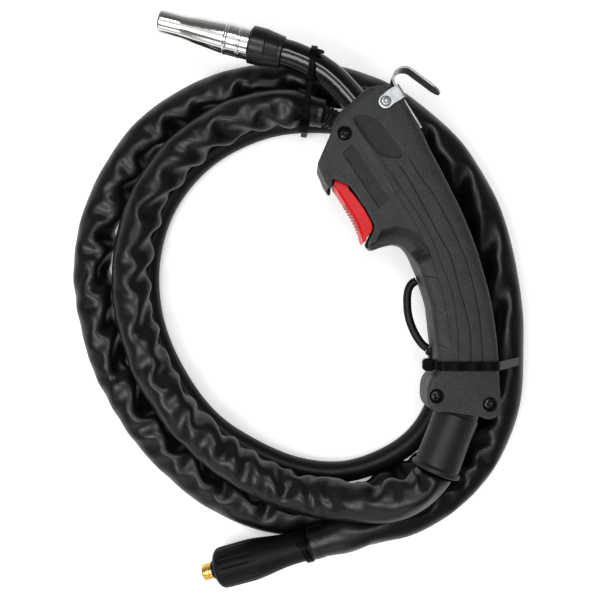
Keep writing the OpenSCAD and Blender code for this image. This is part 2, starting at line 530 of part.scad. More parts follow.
gas_nozzle();
nozzle_spring();
contact_tip();
tip_holder();
nozzle_insulator();
neck_tube();
neck_sleeve();
wire_liner();
neck_nut();
neck_block();
handle_shell_near();
handle_shell_far();
handle_screws();
handle_nuts();
trigger();
trigger_pin();
trigger_spring();
switch_body();
switch_plunger();
switch_terminals();
switch_wires();
hanger_hook();
hanger_saddle();
hanger_screw();
cable_boot();
cable_lug();
power_cable();
inner_sheath();
strain_sleeve();
bare_hose();
outer_sheath();
cable_tie_front();
cable_tie_rear();
cable_tie_plug();
control_lead();
lead_grommets();
plug_grip();
plug_pin();
plug_o_ring();
plug_set_screw();
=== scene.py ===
import math

import bpy
import numpy as np
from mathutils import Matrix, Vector
from mathutils.geometry import delaunay_2d_cdt


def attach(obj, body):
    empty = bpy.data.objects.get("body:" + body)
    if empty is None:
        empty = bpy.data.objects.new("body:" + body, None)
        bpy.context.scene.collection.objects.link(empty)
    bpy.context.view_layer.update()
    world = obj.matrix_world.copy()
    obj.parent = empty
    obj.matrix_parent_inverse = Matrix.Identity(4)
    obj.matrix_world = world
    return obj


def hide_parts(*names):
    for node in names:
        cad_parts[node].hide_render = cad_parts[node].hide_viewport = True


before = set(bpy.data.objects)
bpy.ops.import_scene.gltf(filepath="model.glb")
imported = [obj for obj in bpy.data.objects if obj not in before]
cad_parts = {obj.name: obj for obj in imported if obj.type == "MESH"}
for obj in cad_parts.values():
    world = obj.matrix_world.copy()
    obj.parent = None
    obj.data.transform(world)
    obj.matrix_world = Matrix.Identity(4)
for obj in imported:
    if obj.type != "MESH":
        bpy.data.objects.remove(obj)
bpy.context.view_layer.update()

OX, OY = -28.2, -31.5
MID = 47.0
rad = math.radians


def unit(v):
    v = np.asarray(v, float)
    return v / max(float(np.linalg.norm(v)), 1e-12)


def smooth(a, b, x):
    t = np.clip((np.asarray(x, float) - a) / (b - a), 0, 1)
    return t * t * (3 - 2 * t)


# Camera: straight above the middle of the picture
cam = bpy.data.objects.new("camera", bpy.data.cameras.new("camera"))
bpy.context.scene.collection.objects.link(cam)
cam.location = (-0.0282, -0.0315, 0.527)
cam.rotation_euler = (0, 0, 0)
cam.data.sensor_width = 36
cam.data.lens = 50.53
cam.data.clip_start = 0.01
cam.data.clip_end = 20
cam.data.dof.use_dof = False
bpy.context.scene.camera = cam


# ---------------------------------------------------------------- materials
def material(name, base, base2=None, rough=(0.4, 0.5), metallic=0.0, grain=(900, 0.0001, 0.3), mottle=60,
             coat=0.0, coat_rough=0.1, spec=0.5, stretch=None, second=None, wear_and_highlight=None, sheen=0.0, anisotropic=0.0, speck_and_shade=None, ior=1.5):
    """Procedural finish: base to base2 mottling, roughness range, fine grain bump and a coarser second bump."""
    m = bpy.data.materials.new(name)
    m.use_nodes = True
    nt = m.node_tree
    nt.nodes.clear()
    out = nt.nodes.new("ShaderNodeOutputMaterial")
    b = nt.nodes.new("ShaderNodeBsdfPrincipled")
    nt.links.new(b.outputs["BSDF"], out.inputs["Surface"])
    b.inputs["Metallic"].default_value = metallic
    b.inputs["Specular IOR Level"].default_value = spec
    b.inputs["IOR"].default_value = ior
    b.inputs["Coat Weight"].default_value = coat
    b.inputs["Coat Roughness"].default_value = coat_rough
    b.inputs["Sheen Weight"].default_value = sheen
    b.inputs["Anisotropic"].default_value = anisotropic
    tc = nt.nodes.new("ShaderNodeTexCoord")
    where = tc.outputs["Object"]
    if stretch:
        mp = nt.nodes.new("ShaderNodeMapping")
        mp.inputs["Scale"].default_value = stretch[0]
        mp.inputs["Rotation"].default_value = stretch[1]
        nt.links.new(where, mp.inputs["Vector"])
        where = mp.outputs["Vector"]

    def noise(scale, detail=4, rough_=0.55, vec=None):
        n = nt.nodes.new("ShaderNodeTexNoise")
        n.inputs["Scale"].default_value = scale
        n.inputs["Detail"].default_value = detail
        n.inputs["Roughness"].default_value = rough_
        nt.links.new(vec or where, n.inputs["Vector"])
        return n

    base2 = base2 or tuple(min(1, c * 1.35 + 0.004) for c in base)
    big = noise(mottle, 5)
    ramp = nt.nodes.new("ShaderNodeValToRGB")
    ramp.color_ramp.elements[0].position = 0.35
    ramp.color_ramp.elements[1].position = 0.68
    ramp.color_ramp.elements[0].color = (*base, 1)
    ramp.color_ramp.elements[1].color = (*base2, 1)
    nt.links.new(big.outputs["Fac"], ramp.inputs["Fac"])
    colour = ramp.outputs["Color"]
    # Lighter colour where the edge band attribute is set: rubbed wear and painted highlight along edges
    if wear_and_highlight:
        at = nt.nodes.new("ShaderNodeAttribute")
        at.attribute_name = "wear_and_highlight"
        mixn = nt.nodes.new("ShaderNodeMix")
        mixn.data_type = "RGBA"
        nt.links.new(at.outputs["Fac"], mixn.inputs["Factor"])
        nt.links.new(colour, mixn.inputs["A"])
        mixn.inputs["B"].default_value = (*wear_and_highlight, 1)
        colour = mixn.outputs["Result"]
    if speck_and_shade:
        sn = noise(speck_and_shade[0], 2)
        sr = nt.nodes.new("ShaderNodeMapRange")
        sr.inputs["From Min"].default_value = 0.34
        sr.inputs["From Max"].default_value = 0.66
        sr.inputs["To Min"].default_value = 1 - speck_and_shade[1]
        sr.inputs["To Max"].default_value = 1 + speck_and_shade[1]
        nt.links.new(sn.outputs["Fac"], sr.inputs["Value"])
        # Painted shade: the colour is darkened where the shade attribute is set
        st = nt.nodes.new("ShaderNodeAttribute")
        st.attribute_name = "shade"
        sm = nt.nodes.new("ShaderNodeMath")
        sm.operation = "MULTIPLY_ADD"
        nt.links.new(st.outputs["Fac"], sm.inputs[0])
        sm.inputs[1].default_value = -1
        sm.inputs[2].default_value = 1
        sp = nt.nodes.new("ShaderNodeMath")
        sp.operation = "MULTIPLY"
        nt.links.new(sr.outputs["Result"], sp.inputs[0])
        nt.links.new(sm.outputs["Value"], sp.inputs[1])
        vm = nt.nodes.new("ShaderNodeVectorMath")
        vm.operation = "SCALE"
        nt.links.new(colour, vm.inputs[0])
        nt.links.new(sp.outputs["Value"], vm.inputs["Scale"])
        colour = vm.outputs["Vector"]
    nt.links.new(colour, b.inputs["Base Color"])
    fine = noise(grain[0], 3)
    mr = nt.nodes.new("ShaderNodeMapRange")
    mr.inputs["To Min"].default_value = rough[0]
    mr.inputs["To Max"].default_value = rough[1]
    mr.inputs["From Min"].default_value = 0.3
    mr.inputs["From Max"].default_value = 0.7
    rn = noise(mottle * 4, 4)
    nt.links.new(rn.outputs["Fac"], mr.inputs["Value"])
    nt.links.new(mr.outputs["Result"], b.inputs["Roughness"])
    bump = nt.nodes.new("ShaderNodeBump")
    bump.inputs["Strength"].default_value = grain[2]
    bump.inputs["Distance"].default_value = grain[1]
    nt.links.new(fine.outputs["Fac"], bump.inputs["Height"])
    if second:
        n2 = noise(second[0], 4)
        b2 = nt.nodes.new("ShaderNodeBump")
        b2.inputs["Strength"].default_value = second[2]
        b2.inputs["Distance"].default_value = second[1]
        nt.links.new(n2.outputs["Fac"], b2.inputs["Height"])
        nt.links.new(bump.outputs["Normal"], b2.inputs["Normal"])
        nt.links.new(b2.outputs["Normal"], b.inputs["Normal"])
    else:
        nt.links.new(bump.outputs["Normal"], b.inputs["Normal"])
    return m


M = {
    "chrome": material("nozzle_chrome", (0.66, 0.655, 0.64), (0.72, 0.715, 0.70), rough=(0.07, 0.13), metallic=1.0,
                       grain=(500, 0.00003, 0.15), mottle=90),
    "steel": material("spring_steel", (0.5, 0.5, 0.52), (0.66, 0.66, 0.68), rough=(0.25, 0.4), metallic=1.0),
    "copper": material("copper", (0.72, 0.36, 0.22), (0.85, 0.47, 0.3), rough=(0.25, 0.4), metallic=1.0),
    "brass": material("brass", (0.58, 0.37, 0.10), (0.80, 0.57, 0.21), rough=(0.22, 0.34), metallic=1.0,
                      grain=(1500, 0.00004, 0.3), mottle=220),
    "insulator": material("insulator_black", (0.007, 0.007, 0.008), (0.016, 0.016, 0.016), rough=(0.24, 0.38),
                          grain=(1800, 0.00006, 0.25), mottle=150, spec=0.4),
    "neck": material("neck_black", (0.004, 0.004, 0.0045), (0.008, 0.008, 0.0085), rough=(0.10, 0.17),
                     grain=(1500, 0.00005, 0.2), mottle=120, second=(160, 0.0002, 0.10), spec=0.5),
    "liner": material("liner_blue", (0.07, 0.16, 0.45), rough=(0.4, 0.55)),
    "handle": material("handle_plastic", (0.038, 0.038, 0.0385), (0.048, 0.048, 0.0485), rough=(0.46, 0.58),
                       grain=(1500, 0.00022, 0.6), mottle=140, wear_and_highlight=(0.075, 0.075, 0.076), spec=0.3, speck_and_shade=(1300, 0.30)),
    "screw": material("black_screws", (0.012, 0.012, 0.013), (0.05, 0.05, 0.052), rough=(0.25, 0.42), metallic=0.7,
                      mottle=700),
    "zinc": material("zinc_steel", (0.28, 0.29, 0.30), (0.39, 0.40, 0.41), rough=(0.26, 0.40), metallic=0.7,
                     grain=(1400, 0.00003, 0.3), mottle=260),
    "red": material("trigger_red", (0.60, 0.006, 0.009), (0.70, 0.010, 0.014), rough=(0.32, 0.44),
                    grain=(1700, 0.00005, 0.25), mottle=240, wear_and_highlight=(0.72, 0.05, 0.05), spec=0.28, speck_and_shade=(1500, 0.06)),
    "cream": material("switch_cream", (0.62, 0.6, 0.5), rough=(0.45, 0.6)),
    "wire": material("wire_red", (0.5, 0.03, 0.03), rough=(0.4, 0.5)),
    "boot": material("boot_rubber", (0.013, 0.013, 0.0135), (0.020, 0.020, 0.0205), rough=(0.42, 0.55),
                     grain=(1500, 0.00006, 0.3), mottle=110, spec=0.4),
    "rubber": material("cable_rubber", (0.008, 0.008, 0.0085), (0.013, 0.013, 0.0135), rough=(0.34, 0.48),
                       grain=(1200, 0.00006, 0.3), mottle=120, second=(220, 0.0002, 0.12), spec=0.3),
    "sheath": material("sheath", (0.0045, 0.0045, 0.0048), (0.008, 0.008, 0.0085), rough=(0.29, 0.40),
                       grain=(1400, 0.00007, 0.3), mottle=120, second=(330, 0.00035, 0.15), spec=0.42),
    "tie": material("tie_nylon", (0.005, 0.005, 0.0055), (0.009, 0.009, 0.0095), rough=(0.28, 0.40),
                    grain=(1500, 0.00005, 0.3), mottle=260, spec=0.5, ior=1.14),
    "plug": material("plug_rubber", (0.004, 0.004, 0.0045), (0.007, 0.007, 0.0075), rough=(0.42, 0.54),
                     grain=(1500, 0.00006, 0.35), mottle=180, spec=0.2),
}


# ---------------------------------------------------------------- mesh helpers
def piece(name, verts, faces, mat, body="torch", replaces=None, sharp=35, wear_and_highlight=None):
    """Object from drawing millimetres; verts N x 3, faces lists of indices."""
    v = np.asarray(verts, float).copy()
    v[:, 0] += OX
    v[:, 1] += OY
    v /= 1000
    me = bpy.data.meshes.new(name)
    me.from_pydata([tuple(p) for p in v.tolist()], [], [tuple(int(i) for i in f) for f in faces])
    me.update()
    me.materials.append(M[mat])
    for p in me.polygons:
        p.use_smooth = True
    if wear_and_highlight is not None:
        a = me.attributes.new("wear_and_highlight", "FLOAT", "POINT")
        a.data.foreach_set("value", np.asarray(wear_and_highlight, np.float32))
    o = bpy.data.objects.new(name, me)
    bpy.context.scene.collection.objects.link(o)
    if sharp:
        me.set_sharp_from_angle(angle=rad(sharp))
        wn = o.modifiers.new("even_shading", "WEIGHTED_NORMAL")
        wn.keep_sharp = True
    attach(o, body)
    if replaces:
        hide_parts(*([replaces] if isinstance(replaces, str) else replaces))
    return o


def catmull(pts, step=1.0):
    """Smooth curve through the points, resampled evenly; returns points and its length in mm."""
    p = np.asarray(pts, float)
    p = np.vstack([2 * p[0] - p[1], p, 2 * p[-1] - p[-2]])
    out = []
    for i in range(1, len(p) - 2):
        p0, p1, p2, p3 = p[i - 1], p[i], p[i + 1], p[i + 2]
        t0 = 0.0
        t1 = t0 + np.linalg.norm(p1 - p0) ** 0.5
        t2 = t1 + np.linalg.norm(p2 - p1) ** 0.5
        t3 = t2 + np.linalg.norm(p3 - p2) ** 0.5
        n = max(8, int(np.linalg.norm(p2 - p1) / 0.4))
        for t in np.linspace(t1, t2, n, endpoint=False):
            a1 = (t1 - t) / (t1 - t0) * p0 + (t - t0) / (t1 - t0) * p1
            a2 = (t2 - t) / (t2 - t1) * p1 + (t - t1) / (t2 - t1) * p2
            a3 = (t3 - t) / (t3 - t2) * p2 + (t - t2) / (t3 - t2) * p3
            b1 = (t2 - t) / (t2 - t0) * a1 + (t - t0) / (t2 - t0) * a2
            b2 = (t3 - t) / (t3 - t1) * a2 + (t - t1) / (t3 - t1) * a3
            out.append((t2 - t) / (t2 - t1) * b1 + (t - t1) / (t2 - t1) * b2)
    out.append(p[-2])
    out = np.array(out)
    d = np.concatenate([[0], np.cumsum(np.linalg.norm(np.diff(out, axis=0), axis=1))])
    n = max(4, int(round(d[-1] / step)))
    s = np.linspace(0, d[-1], n + 1)
    return np.stack([np.interp(s, d, out[:, k]) for k in range(3)], 1), float(d[-1])


def frames(path):
    """Tangent, horizontal side and up at each point."""
    t = np.gradient(path, axis=0)
    t /= np.linalg.norm(t, axis=1)[:, None]
    side = np.stack([-t[:, 1], t[:, 0], np.zeros(len(t))], 1)
    side /= np.linalg.norm(side, axis=1)[:, None]
    up = np.cross(t, side)
    return t, side, up


def tube_faces(m, n, caps=True):
    f = []
    for i in range(m - 1):
        for k in range(n):
            f.append((i * n + k, i * n + (k + 1) % n, (i + 1) * n + (k + 1) % n, (i + 1) * n + k))
    if caps:
        f.append(tuple(range(n - 1, -1, -1)))
        f.append(tuple((m - 1) * n + k for k in range(n)))
    return f


def sweep(path, radius, n=24, floor=None, inner=None):
    """Verts of a tube; radius(s, phi) in mm. phi 0 points along inner (or -side), 90 degrees up."""
    t, side, up = frames(path)
    d = np.concatenate([[0], np.cumsum(np.linalg.norm(np.diff(path, axis=0), axis=1))])
    phi = np.linspace(0, 2 * math.pi, n, endpoint=False)
    base = -side if inner is None else side * inner
    S, P = np.meshgrid(d, phi, indexing="ij")
    R = radius(S, P)
    v = (path[:, None, :] + R[..., None] * (np.cos(P)[..., None] * base[:, None, :]
                                            + np.sin(P)[..., None] * up[:, None, :]))
    if floor is not None:
        z = v[..., 2]
        v[..., 2] = np.where(z < floor + 1.5, floor + 1.5 * np.exp((z - floor - 1.5) / 1.5), z)
    return v.reshape(-1, 3)


def wave_noise(s, p, seed, scales, amp):
    """Cheap smooth noise from seeded sines, periodic in p."""
    r = np.random.RandomState(seed)
    out = np.zeros_like(s)
    for sc in scales:
        for _ in range(3):
            k = r.randint(0, 4)
            out += np.sin(2 * math.pi * s / (sc * r.uniform(0.7, 1.4)) + k * p + r.uniform(0, 6.28)) * np.sin(
                r.randint(1, 4) * p + r.uniform(0, 6.28)) * sc
    return amp * out / (3 * sum(scales) / 2)


# ---------------------------------------------------------------- hose routes, as in the CAD source
inner_route = [[76.6, -98.8, 47], [73.8, -105.2, 46.8], [68.2, -110.4, 46.2], [60, -114.6, 44.8], [48.6, -117, 42],
               [34, -117.4, 37], [16, -117, 30], [-4, -114.2, 25.5], [-30, -102.5, 23.5], [-57, -83, 23],
               [-81, -54, 23], [-95.5, -21, 23], [-100.5, 13, 23], [-95.5, 46, 23], [-82, 74, 23],
               [-60, 96, 23.6], [-32, 110, 24.8], [-4, 114, 25.7], [11, 111.6, 25.6]]
bare_route = [[26, 105.4, 20.6], [36, 96, 18.2], [46.4, 79.6, 11.2], [60, 65.4, 7], [71.6, 48, 7], [80, 26, 7],
              [85.6, -3, 7.2], [87.2, -36.4, 8], [84.4, -62.6, 7.4], [73.4, -82.4, 7], [55.2, -96.4, 7], [28, -105.8, 7],
              [-2, -103.4, 7], [-30, -91.9, 7], [-56, -74, 7], [-78, -44, 7], [-91.4, -9, 7], [-92.4, 27, 7],
              [-81.6, 60, 7], [-57, 88.5, 7], [-23, 105.6, 7], [7, 109.4, 8.2], [38, 106, 7.2], [56.4, 94.4, 9.2]]
outer_route = [[57.8, 92.8, 10.3], [75.5, 74.5, 10.2], [88, 54.5, 10.2], [96.4, 32, 10.2], [101.4, 9, 10.2],
               [103.8, -12, 10.3], [104, -36.4, 11.5], [101.2, -64, 10.4], [90.2, -88.6, 10.2], [71.6, -107.8, 10.2],
               [46.4, -121.2, 10.2], [16, -130, 10.2], [-16, -130.6, 10.2], [-48, -116.6, 10.2], [-76, -95.4, 10.2],
               [-99.6, -67.6, 10.2], [-116, -35.6, 10.2], [-124.6, -2, 10.2], [-125.4, 32, 10.2], [-114.6, 66.4, 10.2],
               [-93.4, 98.4, 10.2], [-63, 120.4, 10.2], [-28, 131.4, 10.6], [6, 134, 11.4], [36, 127.2, 10.4],
               [63, 113, 10.2], [87.6, 90.8, 10.2], [106.6, 62.6, 10.2], [118, 30.4, 10.2], [123.4, -3, 11.4],
               [123.7, -36.4, 14.4], [121, -69.4, 12], [106.6, -100, 12.2], [85.6, -120.4, 17.4], [64, -129.4, 23.6],
               [44, -133, 26.6], [28, -137, 27.6], [13, -142.6, 27]]
lead_route = [[67.3, 11, 40], [64.9, 9.6, 39.8], [63.1, 6.9, 39.5], [62.2, 3, 39.2], [62.1, -2, 38.9], [62.7, -8.4, 38.8],
              [64.6, -15, 38.8], [67.8, -21.6, 39.2], [71, -25.9, 39.5], [73.6, -28, 39.6]]


def arc_of(path, point):
    """Arc length at the path's point nearest to a drawing point."""
    d = np.concatenate([[0], np.cumsum(np.linalg.norm(np.diff(path, axis=0), axis=1))])
    return float(d[int(np.argmin(np.linalg.norm(path[:, :2] - np.array(point)[:2], axis=1)))])


def gauss(x, c, w):
    return np.exp(-((x - c) / w) ** 2)


def widen(X, axis, periodic):
    """One step of four-point subdivision along an axis."""
    if periodic:
        a, b, c = np.roll(X, 1, axis), np.roll(X, -1, axis), np.roll(X, -2, axis)
        mid = (9 * (X + b) - a - c) / 16
        out = np.stack([X, mid], axis + 1)
        sh = list(X.shape)
        sh[axis] *= 2
        return out.reshape(sh)
    lo, hi = X[:-1], X[1:]
    mid = (lo + hi) / 2
    mid[1:-1] = (9 * (X[1:-2] + X[2:-1]) - X[:-3] - X[3:]) / 16
    out = np.empty((2 * len(X) - 1,) + X.shape[1:])
    out[0::2] = X
    out[1::2] = mid
    return out


def fold_field(S, P, rnd, zones, ridges):
    """Hollows and ridges that a sleeve's folds start from; v is 1 on the inner side of the bend, 0 on top, -1 outside."""
    v = 1 - P / (math.pi / 2)
    v = np.where(v < -2.0001, v + 4, v)
    R = np.zeros_like(S)
    rim = np.zeros_like(S)
    for s0, s1, pitch, depth, reach, slant in zones:
        q = s0
        while q < s1:
            L = pitch * rnd.uniform(0.78, 1.22)
            dep, re, sl = depth * rnd.uniform(0.75, 1.2), reach + rnd.uniform(-0.16, 0.16), slant * rnd.uniform(0.6, 1.4)
            cu = rnd.uniform(0.8, 2.2)
            sh = S - q - sl * (np.clip(v, -0.4, 1.6) - 0.55) - 1.8 * np.sin(3.0 * (v - 0.2) + cu)
            u = sh / L
            near = (u > -1) & (u < 1.4)
            vb = re + (1.05 - re) * np.clip(u, 0, 1) ** 1.5 + 0.12 * np.sin(5.0 * u + cu)
            a, b = (v - vb) * 14.0, u * L
            dd = np.minimum(a, b)
            inside = smooth(-0.8, 3.2, dd) * (1 - smooth(0.8, 1.05, u))
            fade = smooth(2.0, 1.4, v)
            R -= np.where(near, dep * inside * fade, 0)
            dist = np.where((a > 0) & (b > 0), dd, np.hypot(np.minimum(a, 0), np.minimum(b, 0)))
            edge = np.exp(-(dist / 1.4) ** 2) * smooth(1.05, 0.8, u) * smooth(-0.25, 0.02, u) * fade * smooth(re - 0.35, re, v)
            rim = np.maximum(rim, np.where(near, edge * (0.5 + 0.3 * dep), 0))
            R += np.where(near, 0.9 * gauss(sh, -0.28 * L, 0.26 * L) * gauss(v, 0.62, 0.42), 0)
            q += L
    R += rim
    for s0, s1, v0, v1, wob, height in ridges:
        t = np.clip((S - s0) / (s1 - s0), 0, 1)
        vc = v0 + (v1 - v0) * t + wob * np.sin(2 * math.pi * S / 37 + 2 * v0) + 0.5 * wob * np.sin(
            2 * math.pi * S / 17.3 + 5 * v0)
        x = (v - vc) * 14.0
        on = smooth(s0, s0 + 8, S) * smooth(s1, s1 - 8, S)
        R += on * height * (np.exp(-(x / 1.3) ** 2) + 0.5 * np.exp(-((x + 2.6) / 2.8) ** 2)
                            - 1.1 * np.exp(-((x - 3.0) / 2.4) ** 2))
    return R


def crumple(path, seed, spare, skin, core, squeeze, ends, zones, rounds=240, n=44, step=1.8, floor=0.15, limit=13.0,
            bend=0.04, press=0.012, twist=0.0, ridges=(), shear=0.35, rough=0.5, gain=1.0,
            pleats=(), bulges=(), slopes=(0.5, 0.5), soften=3):
    """A loose sleeve round a hose, settled on its own stretch limits, so that its spare length buckles where the bend
    crowds it. spare: extra length of cloth, as a share; skin: its radius when round; core: what it can't go inside;
    squeeze: (s, half width, radius) where a tie holds it; ends: radius at both ends; zones: (s0, s1, pitch, depth,
    reach, slant) where its folds start; ridges: (s0, s1, v0, v1, wobble, height) of folds that run along it; twist: how far the sleeve is wrung, in degrees over 100 mm;
    pleats: (s, count, depth, decay, turn) gathers round an end; bulges: (s, width, angle, extra) of loose cloth. Returns an n_s x n_phi grid of points."""
    d = np.concatenate([[0], np.cumsum(np.linalg.norm(np.diff(path, axis=0), axis=1))])
    m = int(d[-1] / step) + 1
    s = np.linspace(0, d[-1], m)
    C = np.stack([np.interp(s, d, path[:, k]) for k in range(3)], 1)
    T, side, up = frames(C)
    phi = np.linspace(0, 2 * math.pi, n, endpoint=False)
    S, P = np.meshgrid(s, phi, indexing="ij")
    turn = np.cumsum(np.interp(s, *zip(*twist)) if isinstance(twist, list) else np.full(m, twist)) * (s[1] - s[0]) / 100
    turn -= turn.mean()
    P = np.mod(P + np.radians(turn)[:, None], 2 * math.pi)
    inward = -side
    out = np.cos(P)[..., None] * inward[:, None, :] + np.sin(P)[..., None] * up[:, None, :]
    ds = s[1] - s[0]
    rnd = np.random.RandomState(seed)
    # Radius limits along the sleeve
    hi = np.full_like(S, limit)
    lo = np.full_like(S, core)
    sk = np.full_like(S, skin)
    for c, w, r in squeeze:
        k = np.clip(np.abs(S - c) - w, 0, None)
        hi = np.minimum(hi, r + 0.42 * k + 0.02 * k * k)
        lo = np.minimum(lo, r - 0.35 + 0.5 * k)
    extra = np.zeros_like(S)
    for c, w, a, e in bulges:
        extra += e * np.exp(-((S - c) / w) ** 2) * np.exp(-((np.mod(P - a + math.pi, 2 * math.pi) - math.pi) / 0.75) ** 2)
    hi += extra
    for c, count, depth, decay, at in pleats:
        k = np.abs(S - c)
        hi -= depth * (0.5 + 0.5 * np.cos(count * P + at + 0.03 * k)) ** 1.5 * np.exp(-k / decay) * smooth(0.5, 5, k)
    for c, r, slope in ((0, ends[0], slopes[0]), (d[-1], ends[1], slopes[1])):
        k = np.abs(S - c)
        hi = np.minimum(hi, r + slope * k + 0.004 * k * k)
        lo = np.where(k < 3, np.minimum(hi, np.maximum(lo, r - 0.1)), lo)
    lo = np.minimum(lo, hi - 0.05)
    R = skin * 0.985 + gain * fold_field(S, P, rnd, zones, ridges) + extra
    where = 1 - P / (math.pi / 2)
    where = np.where(where < -2.0001, where + 4, where)
    R += wave_noise(S, P, seed + 3, (41, 19, 9), rough) * (0.3 + 0.7 * smooth(-0.9, 0.15, where) * smooth(2.0, 1.4, where))
    R = np.clip(R, lo, hi)
    X = C[:, None, :] + R[..., None] * out
    e = np.interp(s, *zip(*spare)) if isinstance(spare, list) else np.full(m, spare)
    e = e * (1 + 0.3 * np.interp(s, np.linspace(0, d[-1], 24), rnd.uniform(-1, 1, 24)))
    rl = (ds * (1 + 0.5 * (e[:-1] + e[1:])))[:, None]
    rc = 2 * math.pi * sk / n
    rc = np.minimum(rc, 2 * math.pi * (hi + 0.25) / n)
    rcm = rc * (1 + 0.035 * extra)

    def pull(A, B, rest, k):
        D = B - A
        L = np.sqrt((D * D).sum(-1))
        return D * (k * 0.5 * (1 - rest / np.maximum(L, 1e-6)))[..., None]

    first, last, radial = X[:1].copy(), X[-1:].copy(), out
    for it in range(rounds):
        X = X + press * radial
        for par in (0, 1):
            A, B = X[par:-1:2], X[par + 1::2]
            k = min(len(A), len(B))
            c = pull(A[:k], B[:k], rl[par::2][:k], 1.0)
            X[par:par + 2 * k:2] += c
            X[par + 1:par + 1 + 2 * k:2] -= c
        for par in (0, 1):
            ia = np.arange(par, n, 2)
            ib = (ia + 1) % n
            c = pull(X[:, ia], X[:, ib], rcm[:, ia], 1.0)
            X[:, ia] += c
            X[:, ib] -= c
        # Shear, both diagonals
        for dj in (1, -1):
            for par in (0, 1):
                A = X[par:-1:2]
                B = np.roll(X, -dj, 1)[par + 1::2]
                k = min(len(A), len(B))
                rest = np.sqrt(rl[par::2][:k] ** 2 + rcm[par:-1:2][:k] ** 2)
                c = pull(A[:k], B[:k], rest, shear)
                X[par:par + 2 * k:2] += c
                Y = np.roll(X, -dj, 1)
                Y[par + 1:par + 1 + 2 * k:2] -= c
                X = np.roll(Y, dj, 1)
        # Stiffness of the cloth
        lap = np.zeros_like(X)
        lap[1:-1] += X[2:] + X[:-2] - 2 * X[1:-1]
        lap2 = np.roll(X, 1, 1) + np.roll(X, -1, 1) - 2 * X
        lap4 = np.zeros_like(X)
        lap4[1:-1] = lap[2:] + lap[:-2] - 2 * lap[1:-1]
        lap4 += np.roll(lap2, 1, 1) + np.roll(lap2, -1, 1) - 2 * lap2
        X = X - bend * lap4
        # Hose inside, ties outside, floor below
        D = X - C[:, None, :]
        along = (D * T[:, None, :]).sum(-1, keepdims=True)
        rad_v = D - along * T[:, None, :]
        r = np.sqrt((rad_v * rad_v).sum(-1))
        radial = rad_v / np.maximum(r, 1e-6)[..., None]
        X = C[:, None, :] + along * T[:, None, :] + radial * np.clip(r, lo, hi)[..., None]
        if floor is not None:
            X[..., 2] = np.maximum(X[..., 2], floor)
        X[:1], X[-1:] = first, last
    # Rounder folds
    for it in range(soften):
        lap = np.roll(X, 1, 1) + np.roll(X, -1, 1) - 2 * X
        lap[1:-1] += X[2:] + X[:-2] - 2 * X[1:-1]
        lap[:2], lap[-2:] = 0, 0
        X = X + 0.2 * lap
        D = X - C[:, None, :]
        along = (D * T[:, None, :]).sum(-1, keepdims=True)
        rad_v = D - along * T[:, None, :]
        r = np.sqrt((rad_v * rad_v).sum(-1))
        X = C[:, None, :] + along * T[:, None, :] + (rad_v / np.maximum(r, 1e-6)[..., None]) * np.clip(r, lo, hi)[..., None]
    return X


# First sleeved length: boot to the sleeve's mouth
in_path, in_len = catmull(inner_route, 0.8)
in_grid = crumple(in_path, 11, [(0, 0.05), (90, 0.075), (160, 0.10), (400, 0.105), (433, 0.06)], 12.0, 8.1,
                  [(arc_of(in_path, (4, 112.5)), 2.4, 9.8)], (10.2, 8.3),
                  [(96, 150, 34, 2.0, 0.15, 4), (158, 222, 31, 2.8, 0.05, 9), (226, 395, 24.5, 3.2, 0.02, 11)],
                  ridges=[(20, 130, -0.45, -0.2, 0.10, 0.9), (30, 120, 0.35, 0.1, 0.12, 0.9), (384, 428, 0.1, -0.1, 0.1, 0.9)],
                  twist=[(0, 10), (200, 30), (433, 30)], limit=12.7, bend=0.035, press=0.0, gain=1.05, shear=0.1,
                  rough=1.2, rounds=180, pleats=[(0, 5, 1.7, 26, 0.4), (433, 6, 0.9, 9, 1.0)], slopes=(0.5, 0.2),
                  bulges=[(418, 7, 0.9, 1.5), (25, 11, 0.2, 3.0), (10, 6, 0.2, 2.0)])
# Mouth of the sleeve, turned in
c_end, t_end = in_path[-1], unit(in_path[-1] - in_path[-3])
o_end = (in_grid[-1] - c_end) / np.linalg.norm(in_grid[-1] - c_end, axis=1)[:, None]
lip = [c_end + t_end * a + o_end * r for a, r in ((1.4, 8.5), (2.6, 8.45), (3.3, 8.0), (3.2, 7.4), (2.2, 7.0), (-0.5, 6.9), (-4.5, 6.8))]
in_grid = np.concatenate([in_grid, np.array(lip)])
in_grid = widen(widen(in_grid, 0, False), 1, True)
inner = piece("inner_sheath_cover", in_grid.reshape(-1, 3), tube_faces(in_grid.shape[0], in_grid.shape[1]), "sheath",
              replaces="inner_sheath", sharp=None)

# Bare hose between the two sleeved lengths
b_path, b_len = catmull(bare_route, 1.2)
b_field = lambda S, P: 6.55 + wave_noise(S, P, 3, (60, 31), 0.08)
bare = piece("bare_hose_jacket", sweep(b_path, b_field, 40, floor=0.1), tube_faces(len(b_path), 40), "rubber",
             replaces="bare_hose", sharp=None)

